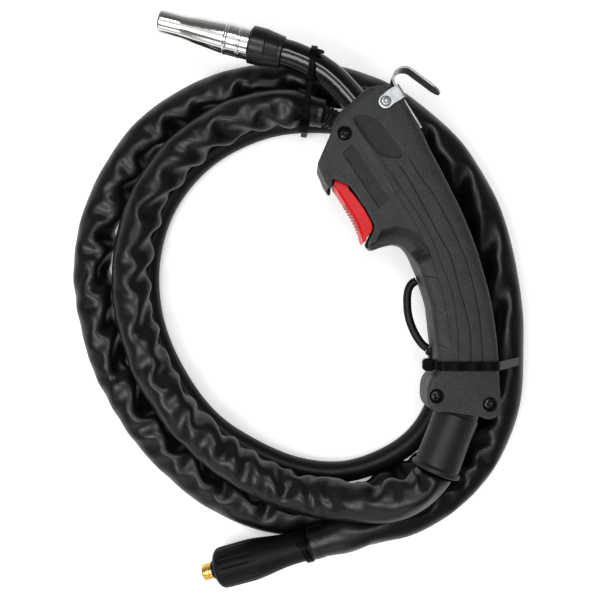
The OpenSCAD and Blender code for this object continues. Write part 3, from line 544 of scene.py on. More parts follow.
# Second sleeved length, under the handle and round the ring to the plug
o_path, o_len = catmull(outer_route, 0.8)
s_side = arc_of(o_path, (71.6, -107.8))
o_grid = crumple(o_path, 29, [(0, 0.06), (240, 0.07), (330, 0.08), (470, 0.10), (560, 0.105), (740, 0.10), (790, 0.06), (840, 0.045), (1000, 0.05),
                              (1060, 0.06), (1123, 0.06)], 12.1, 8.1,
                 [(arc_of(o_path, (104, -36.4)), 2.8, 9.6), (arc_of(o_path, (12.6, 133.3)), 2.4, 10.2)], (9.8, 9.7),
                 [(30, 240, 34, 2.0, 0.1, 6), (262, 330, 30, 2.2, 0.15, 6), (345, 470, 36, 2.8, 0.0, 8), (474, 556, 27, 3.0, 0.05, 9),
                  (560, 765, 25, 3.3, 0.04, 11), (790, 1010, 44, 2.3, -0.35, 28), (1020, 1095, 32, 2.2, -0.1, 14)],
                 ridges=[(180, 300, 0.2, 0.0, 0.1, 1.0), (880, 1060, 0.15, 0.45, 0.08, 1.5),
                         (790, 1100, -0.35, -0.1, 0.10, 1.0), (950, 1110, 0.4, 0.1, 0.12, 1.2)],
                 twist=[(0, 15), (400, 30), (760, 30), (1000, 50), (1123, 50)], limit=12.9, bend=0.035, press=0.0, gain=1.1,
                 shear=0.1, rough=1.3, rounds=180, pleats=[(o_len, 7, 1.6, 15, 0.0)], slopes=(0.5, 0.17),
                 # The bulge at s 242 swells the sleeve over a gap that holds only shadow, as a dark stand-in for that
                 # shadow
                 bulges=[(731, 11, 0.1, 5.0), (242, 13, 0.0, 5.0), (555, 16, 0.0, 3.0), (1040, 42, 3.14, -2.4),
                         (360, 40, 3.14, 1.8)])
# Its end is pulled over the rear of the plug, as far as the tie
p_rear, p_axis = np.array([11.4, -143.2, 26.5]), unit(np.array([-50, -163.5, 14.6]) - np.array([11.4, -143.2, 26.5]))
q_end = (o_grid[-1] - o_path[-1]) / np.linalg.norm(o_grid[-1] - o_path[-1], axis=1)[:, None]
o_grid = np.concatenate([o_grid, [p_rear + p_axis * a + q_end * r for a, r in ((0.3, 9.85), (1.8, 10.0), (3.3, 10.0), (4.6, 9.95), (5.6, 9.8))]])
o_grid = widen(widen(o_grid, 0, False), 1, True)
outer = piece("outer_sheath_cover", o_grid.reshape(-1, 3), tube_faces(o_grid.shape[0], o_grid.shape[1]), "sheath",
              replaces="outer_sheath", sharp=None)

l_path, l_len = catmull(lead_route, 0.6)
l_field = lambda S, P: 2.35 + 0 * S
lead = piece("control_lead_jacket", sweep(l_path, l_field, 28), tube_faces(len(l_path), 28), "rubber",
             replaces="control_lead", sharp=None)

# ---------------------------------------------------------------- handle
def seg_dist(pts, a, b):
    """Distance from each point to each segment a-b: N x K."""
    ab = b - a
    L2 = np.maximum((ab ** 2).sum(1), 1e-12)
    t = ((pts[:, None, :] - a[None]) * ab[None]).sum(2) / L2[None]
    t = np.clip(t, 0, 1)
    foot = a[None] + t[..., None] * ab[None]
    return np.sqrt(((pts[:, None, :] - foot) ** 2).sum(2))


def poly_sd(pts, poly):
    """Signed distance to a closed polygon, positive inside."""
    poly = np.asarray(poly, float)
    a, b = poly, np.roll(poly, -1, axis=0)
    d = seg_dist(pts, a, b).min(1)
    inside = np.zeros(len(pts), bool)
    for p, q in zip(a, b):
        c = ((p[1] > pts[:, 1]) != (q[1] > pts[:, 1]))
        with np.errstate(divide="ignore", invalid="ignore"):
            x = (q[0] - p[0]) * (pts[:, 1] - p[1]) / (q[1] - p[1]) + p[0]
        inside ^= c & (pts[:, 0] < x)
    return np.where(inside, d, -d)


def line_sd(pts, line):
    """Distance to an open polyline and arc length of the nearest place."""
    line = np.asarray(line, float)
    a, b = line[:-1], line[1:]
    ab = b - a
    L = np.linalg.norm(ab, axis=1)
    t = np.clip(((pts[:, None, :] - a[None]) * ab[None]).sum(2) / np.maximum(L ** 2, 1e-12)[None], 0, 1)
    foot = a[None] + t[..., None] * ab[None]
    d = np.sqrt(((pts[:, None, :] - foot) ** 2).sum(2))
    k = d.argmin(1)
    s = np.concatenate([[0], np.cumsum(L)])[:-1][k] + t[np.arange(len(pts)), k] * L[k]
    return d[np.arange(len(pts)), k], s, float(L.sum())


def top(px):
    """Point on the handle's upper face from the view's millimetre grid at that height."""
    return [((x - 300) * 0.5498, (300 - y) * 0.5498) for x, y in px]


def curve2(points, step=1.0):
    p, _ = catmull([[x, y, 0] for x, y in points], step)
    return p[:, :2]


def resample(poly, step):
    out = []
    for p, q in zip(poly[:-1], poly[1:]):
        n = max(1, int(math.ceil(np.linalg.norm(np.array(q) - p) / step)))
        for i in range(n):
            out.append(np.array(p) + (np.array(q) - p) * i / n)
    out.append(np.array(poly[-1]))
    return np.array(out)


riv = (47.0, 109.0)
back_ang = 31.8
smooth_part = ([[38.4, 33.6], [38.0, 31.6], [39.2, 29.4], [41, 28.6], [47.4, 30.6], [53.6, 31.8], [57.6, 30.8], [60.4, 28.2],
                [63.4, 23.2], [66.8, 15.4], [69.2, 8], [72.4, -2.5], [73.7, -11], [74.8, -21.5], [76, -32.5], [76, -39.4],
                [73, -42.6], [70.9, -46.5], [70.4, -56.0], [72, -60], [75.5, -62], [81, -61.9], [94, -63.6], [99.5, -64.5],
                [103, -65.8], [106.4, -65.4], [109.2, -63.4], [110.6, -60], [110.8, -56], [110.2, -48], [109.9, -38], [109.4, -27],
                [108.4, -16.7], [106.8, -5.6], [104.5, 5.6], [101.5, 16.7], [98.2, 27.8], [94.1, 38.9], [89.4, 50], [84, 61.1],
                [78.4, 72.2], [72.4, 83.6], [66.2, 96.4]]
               + [[riv[0] + 9.8 * math.cos(rad(a)), riv[1] + 9.8 * math.sin(rad(a))] for a in (back_ang, 48, 64, 80, 96)]
               + [[40.4, 118.0], [36.6, 116.9], [28.8, 109.9], [22.4, 104.4], [18.3, 97.6], [17.2, 93], [13.2, 83.4], [11.2, 78.7], [10.0, 75.9],
                  [9.85, 74.8], [10.2, 73.7], [11.7, 70.2], [13.6, 65.6], [16.2, 61.6]])
slot_part = [[16.2, 61.6], [17.3, 61.4], [17.8, 62.4], [17.9, 66.4], [18.8, 66.9], [26.6, 63.5], [27.6, 62.5], [30.8, 58.3], [36.4, 50.2],
             [40.2, 43.0], [40.8, 41.6], [40.9, 39.4], [40.6, 38.0], [38.4, 33.6]]
out_s = curve2(smooth_part, 0.9)
slot_s = resample(slot_part, 0.8)
outline = np.vstack([out_s[:-1], slot_s[:-1]])
n_outer = len(out_s) - 1
swing = [[17.0, 67.4], [18.6, 71.6], [24, 74], [29.6, 71], [30, 65], [34, 60.6], [40.2, 53.4], [44.8, 45.6], [45.6, 41.4],
         [44.4, 36.8], [41.2, 31.6], [38.4, 30], [34, 26], [20, 44], [15, 60.4]]
oval = curve2(top([(356, 116.4), (364, 115), (376.5, 118.7), (387, 131), (402, 152), (401, 156.4), (392, 157.8), (379, 153),
                   (369, 143), (354.4, 121), (354, 118), (356, 116.4)]), 0.5)[:-1]
rect = np.vstack([resample(top(s), 0.6)[:-1] for s in ([(342.6, 153), (353, 144)], [(353, 144), (388.8, 198)],
                                                      [(388.8, 198), (379, 208)], [(379, 208), (342.6, 153)])])
grooves = [
    (curve2(top([(391, 170), (403.3, 190.6), (421.5, 218.5), (434, 243), (444, 269.3), (451.4, 288.3), (456.8, 316.8),
                 (458.6, 340), (459, 373)])), 0.32, 0.20),
    (curve2(top([(398.5, 162.7), (411.8, 183.3), (426.4, 210), (438.5, 233), (451.0, 256), (459.5, 287), (465, 306),
                 (470.4, 330.4), (471.4, 360.3), (471, 375.9)])), 0.38, 0.28),
    (curve2(top([(408.2, 155.4), (421.5, 177.3), (432.5, 191.8), (442, 208), (454, 231), (465, 255.8), (473, 281.6),
                 (478.2, 306), (482, 334.5), (483.2, 356.2), (483.3, 375.2)])), 0.38, 0.28),
    (curve2(top([(384, 172), (396, 192), (411, 216), (425, 242), (436, 270), (444, 297), (449, 322), (451.6, 345)])), 0.26, 0.12),
]
fingers = [(top([(423, 276.6), (432.4, 277.5), (441.2, 280.2)]), 4.6), (top([(428.6, 311), (440.6, 312.1), (448.9, 314.8)]), 4.4),
           (top([(433, 344.5), (446, 346), (454.3, 350)]), 4.2)]
ridge = top([(350, 118), (361, 135), (376, 158), (391, 181), (399, 194)])
screws = [(24.7, 92.0), (75.4, -53.0), (104.8, -57.5)]
guard_edge = [[38.4, 33.6], [38.0, 31.6], [39.2, 29.4], [41, 28.6], [47.4, 30.6], [53.6, 31.8], [57.6, 30.8], [60.4, 28.2],
              [63.4, 23.2], [65.4, 18.6]]
neck_axis = ((25.8, 119.0), rad(-49))


def outline_round():
    """Rounding width along the outline, in mm, per vertex."""
    key = [((38.2, 32), 1.6), ((47, 30.6), 2.0), ((60.4, 28.2), 3.2), ((66.8, 15.4), 6.5), ((72.4, -2.5), 7.0), ((76, -32), 6.0),
           ((73, -42.6), 3.4), ((70.4, -56), 3.2), ((81, -62), 2.2), ((99.5, -64.5), 2.0), ((106.4, -65.4), 1.8), ((110.6, -60), 1.8), ((110.2, -48), 2.6), ((109.9, -38), 4.0),
           ((108.4, -16.7), 5.6), ((101.5, 16.7), 6.6), ((89.4, 50), 7.2), ((72.4, 83.6), 7.4), ((66.2, 96.4), 7.0), ((56, 113), 4.0),
           ((46, 118.6), 3.0), ((36, 116.6), 5.0), ((22.4, 104.4), 5.6), ((17.4, 93), 3.2), ((10.2, 76.4), 1.4), ((13.6, 65.6), 1.4),
           ((17.4, 61.4), 0.8), ((27, 64), 0.9), ((37.5, 50.9), 0.9), ((41.7, 41), 0.9), ((38.4, 33.6), 0.9)]
    d = np.concatenate([[0], np.cumsum(np.linalg.norm(np.diff(np.vstack([outline, outline[:1]]), axis=0), axis=1))])
    at = []
    for p, r in key:
        k = int(np.argmin(np.linalg.norm(outline - np.array(p), axis=1)))
        at.append((d[k], r))
    at.sort()
    x = np.array([a for a, _ in at])
    y = np.array([r for _, r in at])
    return np.interp(d[:-1], np.concatenate([[x[-1] - d[-1]], x, [x[0] + d[-1]]]), np.concatenate([[y[-1]], y, [y[0]]]))


round_w = outline_round()
o_a, o_b = outline, np.roll(outline, -1, axis=0)


def edge_info(pts):
    d = seg_dist(pts, o_a, o_b)
    k = d.argmin(1)
    dmin = d[np.arange(len(pts)), k]
    w = np.exp(-(d - dmin[:, None]) / 1.2)
    R = (w * round_w[None]).sum(1) / w.sum(1)
    outer = d[:, :n_outer].min(1)
    return dmin, R, outer


def face_height(pts, near):
    """Upper face height above the parting plane, and a lighter band along the edges: rubbed wear and painted highlight.
    """
    d, R, _ = edge_info(pts)
    depth = np.minimum(R * 0.72, 6.2)
    x = np.clip(1 - d / R, 0, 1)
    z = 17.0 - depth * (1 - (1 - x ** 2.3) ** (1 / 2.3))
    # Painted highlight: a lighter band on the tight rounded edges, partly rubbed wear
    wear_and_highlight = 0.35 * np.exp(-((d - 0.35 * R) / (0.4 * R + 0.2)) ** 2) * (R < 4)
    # Crowned a little across
    z -= 0.35 * smooth(14, 4, d)
    if near:
        g, gs, gl = line_sd(pts, guard_edge)
        scoop = 47 + 4.4 + 0.5 * smooth(0, 1.2, g) + 12.2 * (1 - np.sqrt(np.clip(1 - (np.clip(g - 2.4, 0, 6.4) / 6.4) ** 2.0, 0, 1))) - 47
        scoop = np.where(g > 8.7, 30, scoop)
        scoop -= 1.2 * smooth(0.9, 0.0, g)
        along = smooth(gl - 0.1, gl - 9, gs) * smooth(0.5, 4.5, gs)
        z2 = np.minimum(z, scoop)
        z = z * (1 - along) + z2 * along
        # Painted highlight along the guard's lip
        wear_and_highlight = np.maximum(wear_and_highlight * 1.0, 0.5 * along * np.exp(-((g - 0.9) / 0.7) ** 2))
        sd = poly_sd(pts, oval)
        z -= 0.55 * smooth(-0.25, 0.30, sd)
        sd2 = poly_sd(pts, rect)
        z -= 0.45 * smooth(-0.25, 0.30, sd2)
        rg, rs, rl = line_sd(pts, ridge)
        z += 0.34 * smooth(2.3, 1.3, rg) * smooth(0, 3, rs) * smooth(rl, rl - 3, rs)
    else:
        g, gs, gl = line_sd(pts, guard_edge)
        along = smooth(gl - 0.1, gl - 9, gs) * smooth(0.5, 4.5, gs)
        z = np.where(True, z - along * 3.0 * smooth(7, 0, g), z)
    for line, w, dep in grooves:
        q, s, L = line_sd(pts, line)
        z -= dep * np.exp(-(q / w) ** 2) * smooth(0, 2, s) * smooth(L, L - 2, s)
    for line, reach in fingers:
        q, s, L = line_sd(pts, line)
        a, b = np.array(line[0]), np.array(line[-1])
        t = unit(b - a)
        nrm = np.array([-t[1], t[0]])
        off = ((pts - a) * nrm).sum(1) - np.interp(((pts - a) * t).sum(1), [0, 4.6, 9.6], [0, 0.55, 0.0])
        along_l = ((pts - a) * t).sum(1)
        on = smooth(-6, -1, along_l) * smooth(10.2, 6.2, along_l)
        z -= on * 0.62 * np.where(off > 0, np.clip(1 - off / reach, 0, 1) ** 1.6 * smooth(-0.05, 0.30, off), 0)
    for s in screws:
        q = np.linalg.norm(pts - np.array(s), axis=1)
        z = np.where(q < 4.6, z - 0.35 * smooth(4.4, 3.9, q) - 3.6 * smooth(3.9, 3.55, q), z)
        wear_and_highlight = np.maximum(wear_and_highlight, 0.0)
    return z, np.clip(wear_and_highlight, 0, 1)


def build_points():
    pts = [outline]
    taken = {}

    def add(p, gap):
        key = (int(math.floor(p[0] / gap)), int(math.floor(p[1] / gap)))
        for i in (-1, 0, 1):
            for j in (-1, 0, 1):
                for q in cells.get((int(math.floor(p[0] / 0.5)) + i, int(math.floor(p[1] / 0.5)) + j), ()):
                    if (q[0] - p[0]) ** 2 + (q[1] - p[1]) ** 2 < gap * gap:
                        return
        cells.setdefault((int(math.floor(p[0] / 0.5)), int(math.floor(p[1] / 0.5))), []).append(p)
        extra.append(p)

    cells, extra = {}, []
    for p in outline:
        cells.setdefault((int(math.floor(p[0] / 0.5)), int(math.floor(p[1] / 0.5))), []).append(p)

    def offset(poly, d, closed=True):
        poly = np.asarray(poly)
        t = (np.roll(poly, -1, axis=0) - np.roll(poly, 1, axis=0)) if closed else np.gradient(poly, axis=0)
        t /= np.maximum(np.linalg.norm(t, axis=1)[:, None], 1e-9)
        return poly + d * np.stack([-t[:, 1], t[:, 0]], 1)

    for s in screws:
        for r in (0.0, 1.8, 3.3, 3.55, 3.75, 3.95, 4.3, 4.7, 5.2):
            n = 1 if r == 0 else 48
            for k in range(n):
                add((s[0] + r * math.cos(2 * math.pi * k / n), s[1] + r * math.sin(2 * math.pi * k / n)), 0.14)
    for poly in (oval, rect):
        for d in (-0.32, -0.1, 0.1, 0.34):
            for p in offset(poly, d):
                add(tuple(p), 0.16)
    for line, w, dep in grooves:
        fine = resample(line, 0.7)
        for d in (0, -0.45, 0.45, -0.85, 0.85):
            for p in offset(fine, d, False):
                add(tuple(p), 0.3)
    for line, reach in fingers:
        fine = resample(line, 0.5)
        for d in (-0.5, -0.12, 0.12, 0.32, 0.8, 1.6):
            for p in offset(fine, d, False):
                add(tuple(p), 0.18)
    g = curve2(guard_edge, 0.6)
    sgn = -1 if poly_sd(offset(g, -4.0, False)[4:5], outline)[0] > 0 else 1
    for d in (0.5, 1.1, 1.8, 2.4, 3.4, 4.4, 5.4, 6.4, 7.2, 7.8, 8.2, 8.5, 8.72, 8.9, 9.3):
        for p in offset(g, sgn * d, False):
            add(tuple(p), 0.2)
    sgn = 1 if poly_sd(offset(outline, 0.4)[10:11], outline)[0] > 0 else -1
    for d in (0.12, 0.3, 0.6, 1.0, 1.5, 2.1, 2.35, 2.6, 3.2, 4.0, 5.0, 6.2, 7.4):
        ring = offset(outline, sgn * d)
        dist = seg_dist(ring, o_a, o_b).min(1)
        for p, q in zip(ring, dist):
            if q > d * 0.93:
                add(tuple(p), min(0.6, 0.08 + d * 0.25))
    lo, hi = outline.min(0), outline.max(0)
    ys = np.arange(lo[1], hi[1], 1.15)
    grid = []
    for j, y in enumerate(ys):
        for x in np.arange(lo[0] + (0.6 if j % 2 else 0), hi[0], 1.2):
            grid.append((x, y))
    for p in grid:
        add(p, 0.62)
    e = np.array(extra)
    sd = poly_sd(e, outline)
    e = e[sd > 0.07]
    return np.vstack([outline, e])


hp = build_points()
n_out = len(outline)
res = delaunay_2d_cdt([Vector(p) for p in hp.tolist()], [], [list(range(n_out))], 1, 1e-5)
hv = np.array([tuple(v) for v in res[0]])
ht_faces = [f for f in res[2] if len(f) == 3]
# Where each original outline point went
orig = {}
for i, src in enumerate(res[3]):
    for o_ in src:
        orig[o_] = i
ring0 = [orig[i] for i in range(n_out)]
tri = np.array(ht_faces)
a_, b_, c_ = hv[tri[:, 0]], hv[tri[:, 1]], hv[tri[:, 2]]
area2 = (b_[:, 0] - a_[:, 0]) * (c_[:, 1] - a_[:, 1]) - (b_[:, 1] - a_[:, 1]) * (c_[:, 0] - a_[:, 0])
tri = np.where(area2[:, None] < 0, tri[:, ::-1], tri)
tri = tri[np.abs(area2) > 1e-9]
area_poly = 0.5 * sum(outline[i][0] * outline[(i + 1) % n_out][1] - outline[(i + 1) % n_out][0] * outline[i][1] for i in range(n_out))


def shell(name, near, node):
    zt, wear_and_highlight = face_height(hv, near)
    d, R, outer = edge_info(hv)
    ceiling = np.minimum(zt, 17 - 0.3) - 2.3
    zb = ceiling * smooth(2.36, 2.59, outer)
    for s in screws:
        q = np.linalg.norm(hv - np.array(s), axis=1)
        zb = zb * smooth(5.0, 5.25, q)
    q = np.linalg.norm(hv - np.array(riv), axis=1)
    zb = zb * smooth(4.5, 4.9, q)
    sw = poly_sd(hv, swing)
    zb = np.where(sw > -0.3, np.maximum(zb, 13.6), zb)
    zb = np.minimum(zb, zt - 0.9)
    n = len(hv)
    top_v = np.column_stack([hv, zt])
    bot_v = np.column_stack([hv, zb])
    verts = [top_v, bot_v]
    ccw = area_poly > 0
    ringpts = ring0 if ccw else ring0[::-1]
    faces = [tuple(f) for f in tri.tolist()] + [tuple(n + i for i in f[::-1]) for f in tri.tolist()]
    # Walls with a fine step at the parting line
    m = len(ringpts)
    rp = hv[ringpts]
    tng = np.roll(rp, -1, axis=0) - np.roll(rp, 1, axis=0)
    tng /= np.maximum(np.linalg.norm(tng, axis=1)[:, None], 1e-9)
    inward = np.stack([-tng[:, 1], tng[:, 0]], 1)
    zt_r, zb_r = zt[ringpts], zb[ringpts]
    levels = []
    for frac in (0.25, 0.5, 0.75):
        levels.append(np.column_stack([rp, zt_r + (zb_r + 0.55 - zt_r) * frac]))
    levels.append(np.column_stack([rp, zb_r + 0.55]))
    levels.append(np.column_stack([rp + inward * 0.02, zb_r + 0.38]))
    levels.append(np.column_stack([rp + inward * 0.26, zb_r + 0.16]))
    bot_v[ringpts, :2] = rp + inward * 0.28
    base_i = 2 * n
    rings = [list(ringpts)]
    for lv in levels:
        verts.append(lv)
        rings.append(list(range(base_i, base_i + m)))
        base_i += m
    rings.append([n + i for i in ringpts])
    for r0, r1 in zip(rings[:-1], rings[1:]):
        for k in range(m):
            k2 = (k + 1) % m
            faces.append((r0[k], r1[k], r1[k2], r0[k2]))
    v = np.vstack([verts[0], bot_v] + verts[2:])
    w = np.concatenate([wear_and_highlight, np.zeros(n)] + [np.zeros(m) for _ in levels])
    if near:
        v[:, 2] = MID + v[:, 2]
    else:
        v[:, 2] = MID - v[:, 2]
        faces = [f[::-1] for f in faces]
    o = piece(name, v, faces, "handle", replaces=node, sharp=48, wear_and_highlight=w)
    if near:
        # Darker tone on the recessed panels, and painted shade along the grooves
        a = o.data.attributes.new("shade", "FLOAT", "POINT")
        panel_tone_and_groove_shade = np.zeros(len(v))
        panel_tone_and_groove_shade[:n] = 0.42 * np.maximum(smooth(-0.05, 0.35, poly_sd(hv, oval)), smooth(-0.05, 0.35, poly_sd(hv, rect)))
        for line, w, dep in grooves:
            q, s, L = line_sd(hv, line)
            panel_tone_and_groove_shade[:n] = np.maximum(panel_tone_and_groove_shade[:n], 0.8 * np.exp(-(q / (w * 1.25)) ** 2) * smooth(0, 4, s) * smooth(L, L - 4, s) * (0.5 + dep))
        a.data.foreach_set("value", panel_tone_and_groove_shade.astype(np.float32))
    return o


shell("handle_near_moulding", True, "handle_shell_near")
shell("handle_far_moulding", False, "handle_shell_far")

# ---------------------------------------------------------------- turned, bent and moulded pieces
def fillet(poly, r, n=3, closed=True, keep=()):
    """Rounds the corners of a 2D outline."""
    p = [np.array(q, float) for q in poly]
    m = len(p)
    out = []
    for i in range(m):
        if not closed and i in (0, m - 1) or i in keep:
            out.append(p[i])
            continue
        a, b, c = p[i - 1], p[i], p[(i + 1) % m]
        la, lc = np.linalg.norm(a - b), np.linalg.norm(c - b)
        ua, uc = (a - b) / max(la, 1e-9), (c - b) / max(lc, 1e-9)
        cosang = float(np.clip(ua @ uc, -1, 1))
        if cosang < -0.985:
            out.append(b)
            continue
        k = min(r, 0.42 * la, 0.42 * lc)
        for t in np.linspace(0, 1, n + 1):
            out.append((1 - t) ** 2 * (b + ua * k) + 2 * t * (1 - t) * b + t * t * (b + uc * k))
    return [tuple(q) for q in out]


def axes(origin, z, x=(0, 0, 1)):
    z = unit(z)
    x = np.asarray(x, float)
    x = unit(x - z * (x @ z))
    return np.asarray(origin, float), x, np.cross(z, x), z


def place(A, pts):
    o, x, y, z = A
    p = np.asarray(pts, float)
    return o + p[:, :1] * x + p[:, 1:2] * y + p[:, 2:3] * z


def direction(angle, dip=0.0):
    return np.array([math.cos(rad(angle)) * math.cos(dip), math.sin(rad(angle)) * math.cos(dip), math.sin(dip)])


def lathe_mesh(profile, n=96, radial=None):
    """Closed profile [(r, z)] turned round Z. A profile whose ends are on the axis is capped there."""
    prof = [tuple(q) for q in profile]
    on_axis = prof[0][0] < 1e-6 and prof[-1][0] < 1e-6
    th = np.linspace(0, 2 * math.pi, n, endpoint=False)
    verts, faces = [], []
    rows = prof[1:-1] if on_axis else prof
    for r, z in rows:
        rr = np.full(n, r, float)
        if radial is not None:
            rr = rr + radial(r, z, th)
        verts += [(a * math.cos(t), a * math.sin(t), z) for a, t in zip(rr, th)]
    m = len(rows)
    last = m if not on_axis else m - 1
    for i in range(last):
        j = (i + 1) % m
        for k in range(n):
            k2 = (k + 1) % n
            faces.append((i * n + k, j * n + k, j * n + k2, i * n + k2))
    if on_axis:
        c0, c1 = len(verts), len(verts) + 1
        verts += [(0, 0, prof[0][1]), (0, 0, prof[-1][1])]
        for k in range(n):
            k2 = (k + 1) % n
            faces.append((c0, k, k2))
            faces.append((c1, (m - 1) * n + k2, (m - 1) * n + k))
    # Outward faces: a profile that runs anticlockwise in (z, r) needs turning over
    area = sum(prof[i][1] * prof[(i + 1) % len(prof)][0] - prof[(i + 1) % len(prof)][1] * prof[i][0] for i in range(len(prof)))
    if area < 0:
        faces = [f[::-1] for f in faces]
    return np.array(verts), faces


def join(parts):
    verts, faces, base = [], [], 0
    for v, f in parts:
        verts.append(np.asarray(v, float))
        faces += [tuple(i + base for i in q) for q in f]
        base += len(v)
    return np.vstack(verts), faces


def lathe(name, A, profile, mat, node=None, n=96, body="torch", radial=None, sharp=40, extra=(), wear_and_highlight=None):
    v, f = lathe_mesh(profile, n, radial)
    parts = [(place(A, v), f)] + list(extra)
    v, f = join(parts)
    return piece(name, v, f, mat, body, node, sharp)


def strip(points, widths, thick, wdir, r=0.18, closed=False, ripple=None):
    """A flat strip along points, its width along wdir from a to b per point, with rounded long edges."""
    P = np.asarray(points, float)
    if closed:
        T = np.roll(P, -1, axis=0) - np.roll(P, 1, axis=0)
    else:
        T = np.gradient(P, axis=0)
    T /= np.linalg.norm(T, axis=1)[:, None]
    W = unit(wdir)
    N = np.cross(T, W)
    N /= np.linalg.norm(N, axis=1)[:, None]
    verts = []
    q = r * (1 - math.cos(math.pi / 4))
    for i, (p, nn, (a, b)) in enumerate(zip(P, N, widths)):
        h = thick / 2
        rr = min(r, (b - a) / 2.2)
        k = rr * 0.3
        add = 0.0 if ripple is None else ripple[i]
        ring = [(a + rr, -h), ((a + b) / 2, -h), (b - rr, -h), (b - k, -h + k), (b, -h + rr), (b, h - rr), (b - k, h - k), (b - rr, h),
                ((a + b) / 2, h), (a + rr, h), (a + k, h - k), (a, h - rr), (a, -h + rr), (a + k, -h + k)]
        verts += [p + W * w + nn * (t - add) for w, t in ring]
    n = 14
    m = len(P)
    faces = []
    for i in range(m if closed else m - 1):
        j = (i + 1) % m
        for k in range(n):
            k2 = (k + 1) % n
            faces.append((i * n + k, j * n + k, j * n + k2, i * n + k2))
    if not closed:
        faces.append(tuple(range(n)))
        faces.append(tuple((m - 1) * n + k for k in range(n - 1, -1, -1)))
    v = np.array(verts)
    return v, orient(v, faces)


def orient(v, faces):
    """Turns a closed mesh's faces outwards, by its volume."""
    vol = 0.0
    for f in faces:
        for i in range(1, len(f) - 1):
            vol += float(np.dot(v[f[0]], np.cross(v[f[i]], v[f[i + 1]])))
    return [q[::-1] for q in faces] if vol < 0 else faces


def block(A, lo, hi, r=0.4):
    """A rectangular moulding with rounded edges, drawn as a rounded outline lofted in three steps a side."""
    (x0, y0, z0), (x1, y1, z1) = lo, hi
    rings = []
    for z, ins in ((z0, r), (z0 + 0.3 * r, 0.3 * r), (z0 + r, 0), (z1 - r, 0), (z1 - 0.3 * r, 0.3 * r), (z1, r)):
        pts = fillet([(x0 + ins, y0 + ins), (x1 - ins, y0 + ins), (x1 - ins, y1 - ins), (x0 + ins, y1 - ins)], r, 3)
        rings.append([(x, y, z) for x, y in pts])
    n = len(rings[0])
    v = place(A, [p for ring in rings for p in ring])
    f = []
    for i in range(len(rings) - 1):
        for k in range(n):
            k2 = (k + 1) % n
            f.append((i * n + k, i * n + k2, (i + 1) * n + k2, (i + 1) * n + k))
    f.append(tuple(range(n - 1, -1, -1)))
    f.append(tuple((len(rings) - 1) * n + k for k in range(n)))
    return v, orient(v, f)


def prism(poly, z0, z1, bevel=0.4):
    """Outline in plan, extruded along Z with rounded top and bottom edges."""
    p = np.asarray(poly, float)
    area = 0.5 * sum(p[i][0] * p[(i + 1) % len(p)][1] - p[(i + 1) % len(p)][0] * p[i][1] for i in range(len(p)))
    if area < 0:
        p = p[::-1]
    t = np.roll(p, -1, axis=0) - np.roll(p, 1, axis=0)
    t /= np.maximum(np.linalg.norm(t, axis=1)[:, None], 1e-9)
    inward = np.stack([-t[:, 1], t[:, 0]], 1)
    rings = []
    for z, ins in ((z0, bevel), (z0 + 0.3 * bevel, 0.3 * bevel), (z0 + bevel, 0), ((z0 + z1) / 2, 0), (z1 - bevel, 0),
                   (z1 - 0.3 * bevel, 0.3 * bevel), (z1, bevel)):
        rings.append(np.column_stack([p + inward * ins, np.full(len(p), z)]))
    n = len(p)
    v = np.vstack(rings)
    f = []
    for i in range(len(rings) - 1):
        for k in range(n):
            k2 = (k + 1) % n
            f.append((i * n + k, i * n + k2, (i + 1) * n + k2, (i + 1) * n + k))
    f.append(tuple(range(n - 1, -1, -1)))
    f.append(tuple((len(rings) - 1) * n + k for k in range(n)))
    return v, orient(v, f)


# Nozzle and collar
n_dir = direction(165.6)
A_noz = axes((-28.2, 145.8, MID), n_dir)
prof = [(7.25, 0.4), (9.05, 0.4), (9.05, 5.2), (9.32, 5.6), (9.34, 6.3), (9.0, 6.75), (9.12, 7.2), (9.12, 12.7), (8.86, 12.95),
        (9.34, 13.5), (9.36, 14.2), (9.0, 14.8), (8.95, 16.2), (7.72, 32.2), (7.25, 35.6), (6.9, 39.6), (6.8, 42), (6.78, 52.5), (6.5, 53.4),
        (6.1, 53.5), (5.75, 53.0), (5.7, 38.2), (7.2, 28.1)]
lathe("nozzle_turned", A_noz, fillet(prof, 0.5, 3), "chrome", "gas_nozzle", 144, body="nozzle", sharp=60)
prof = [(5.25, 0), (10.25, 0), (10.6, -0.4), (10.62, -8.4), (10.35, -9.1), (10.25, -9.8), (9.2, -16.4), (9.05, -16.8), (9.05, -18.4),
        (8.7, -19.05), (5.25, -19.1)]
lathe("collar_moulding", A_noz, fillet(prof, 0.35, 3), "insulator", "nozzle_insulator", 128)

# Swan neck sleeve
bc = np.array([-27.0, 73.2])
n_base = np.array([-28.2, 145.8])
t0 = rad(-14.4)
b_start = n_base + 19.2 * np.array([math.cos(t0), math.sin(t0)])
bc = b_start + 70 * np.array([math.sin(t0), -math.cos(t0)])
arc = [(bc[0] + 70 * math.cos(a), bc[1] + 70 * math.sin(a), MID) for a in np.linspace(rad(75.6), rad(75.6 - 34.6), 70)]
b_end = np.array(arc[-1])
e_dir = direction(-49)
neck_path = np.array(arc + [tuple(b_end + e_dir * s) for s in np.arange(0.6, 19.9, 0.6)])
nd = np.concatenate([[0], np.cumsum(np.linalg.norm(np.diff(neck_path, axis=0), axis=1))])


def neck_field(S, P):
    fine = 0.09 * np.sin(2 * math.pi * S / 0.95) * smooth(20, 25, S) * np.clip(np.sin(P) * 1.3, 0, 1) ** 2 * gauss(np.cos(P), -0.25, 0.35)
    # Two flats that run along the sleeve
    flats = -0.16 * gauss(P, rad(62), 0.28) - 0.14 * gauss(P, rad(128), 0.25)
    return 7.86 + fine + flats + 0.05 * wave_noise(S, P, 77, (14, 6), 1.0)


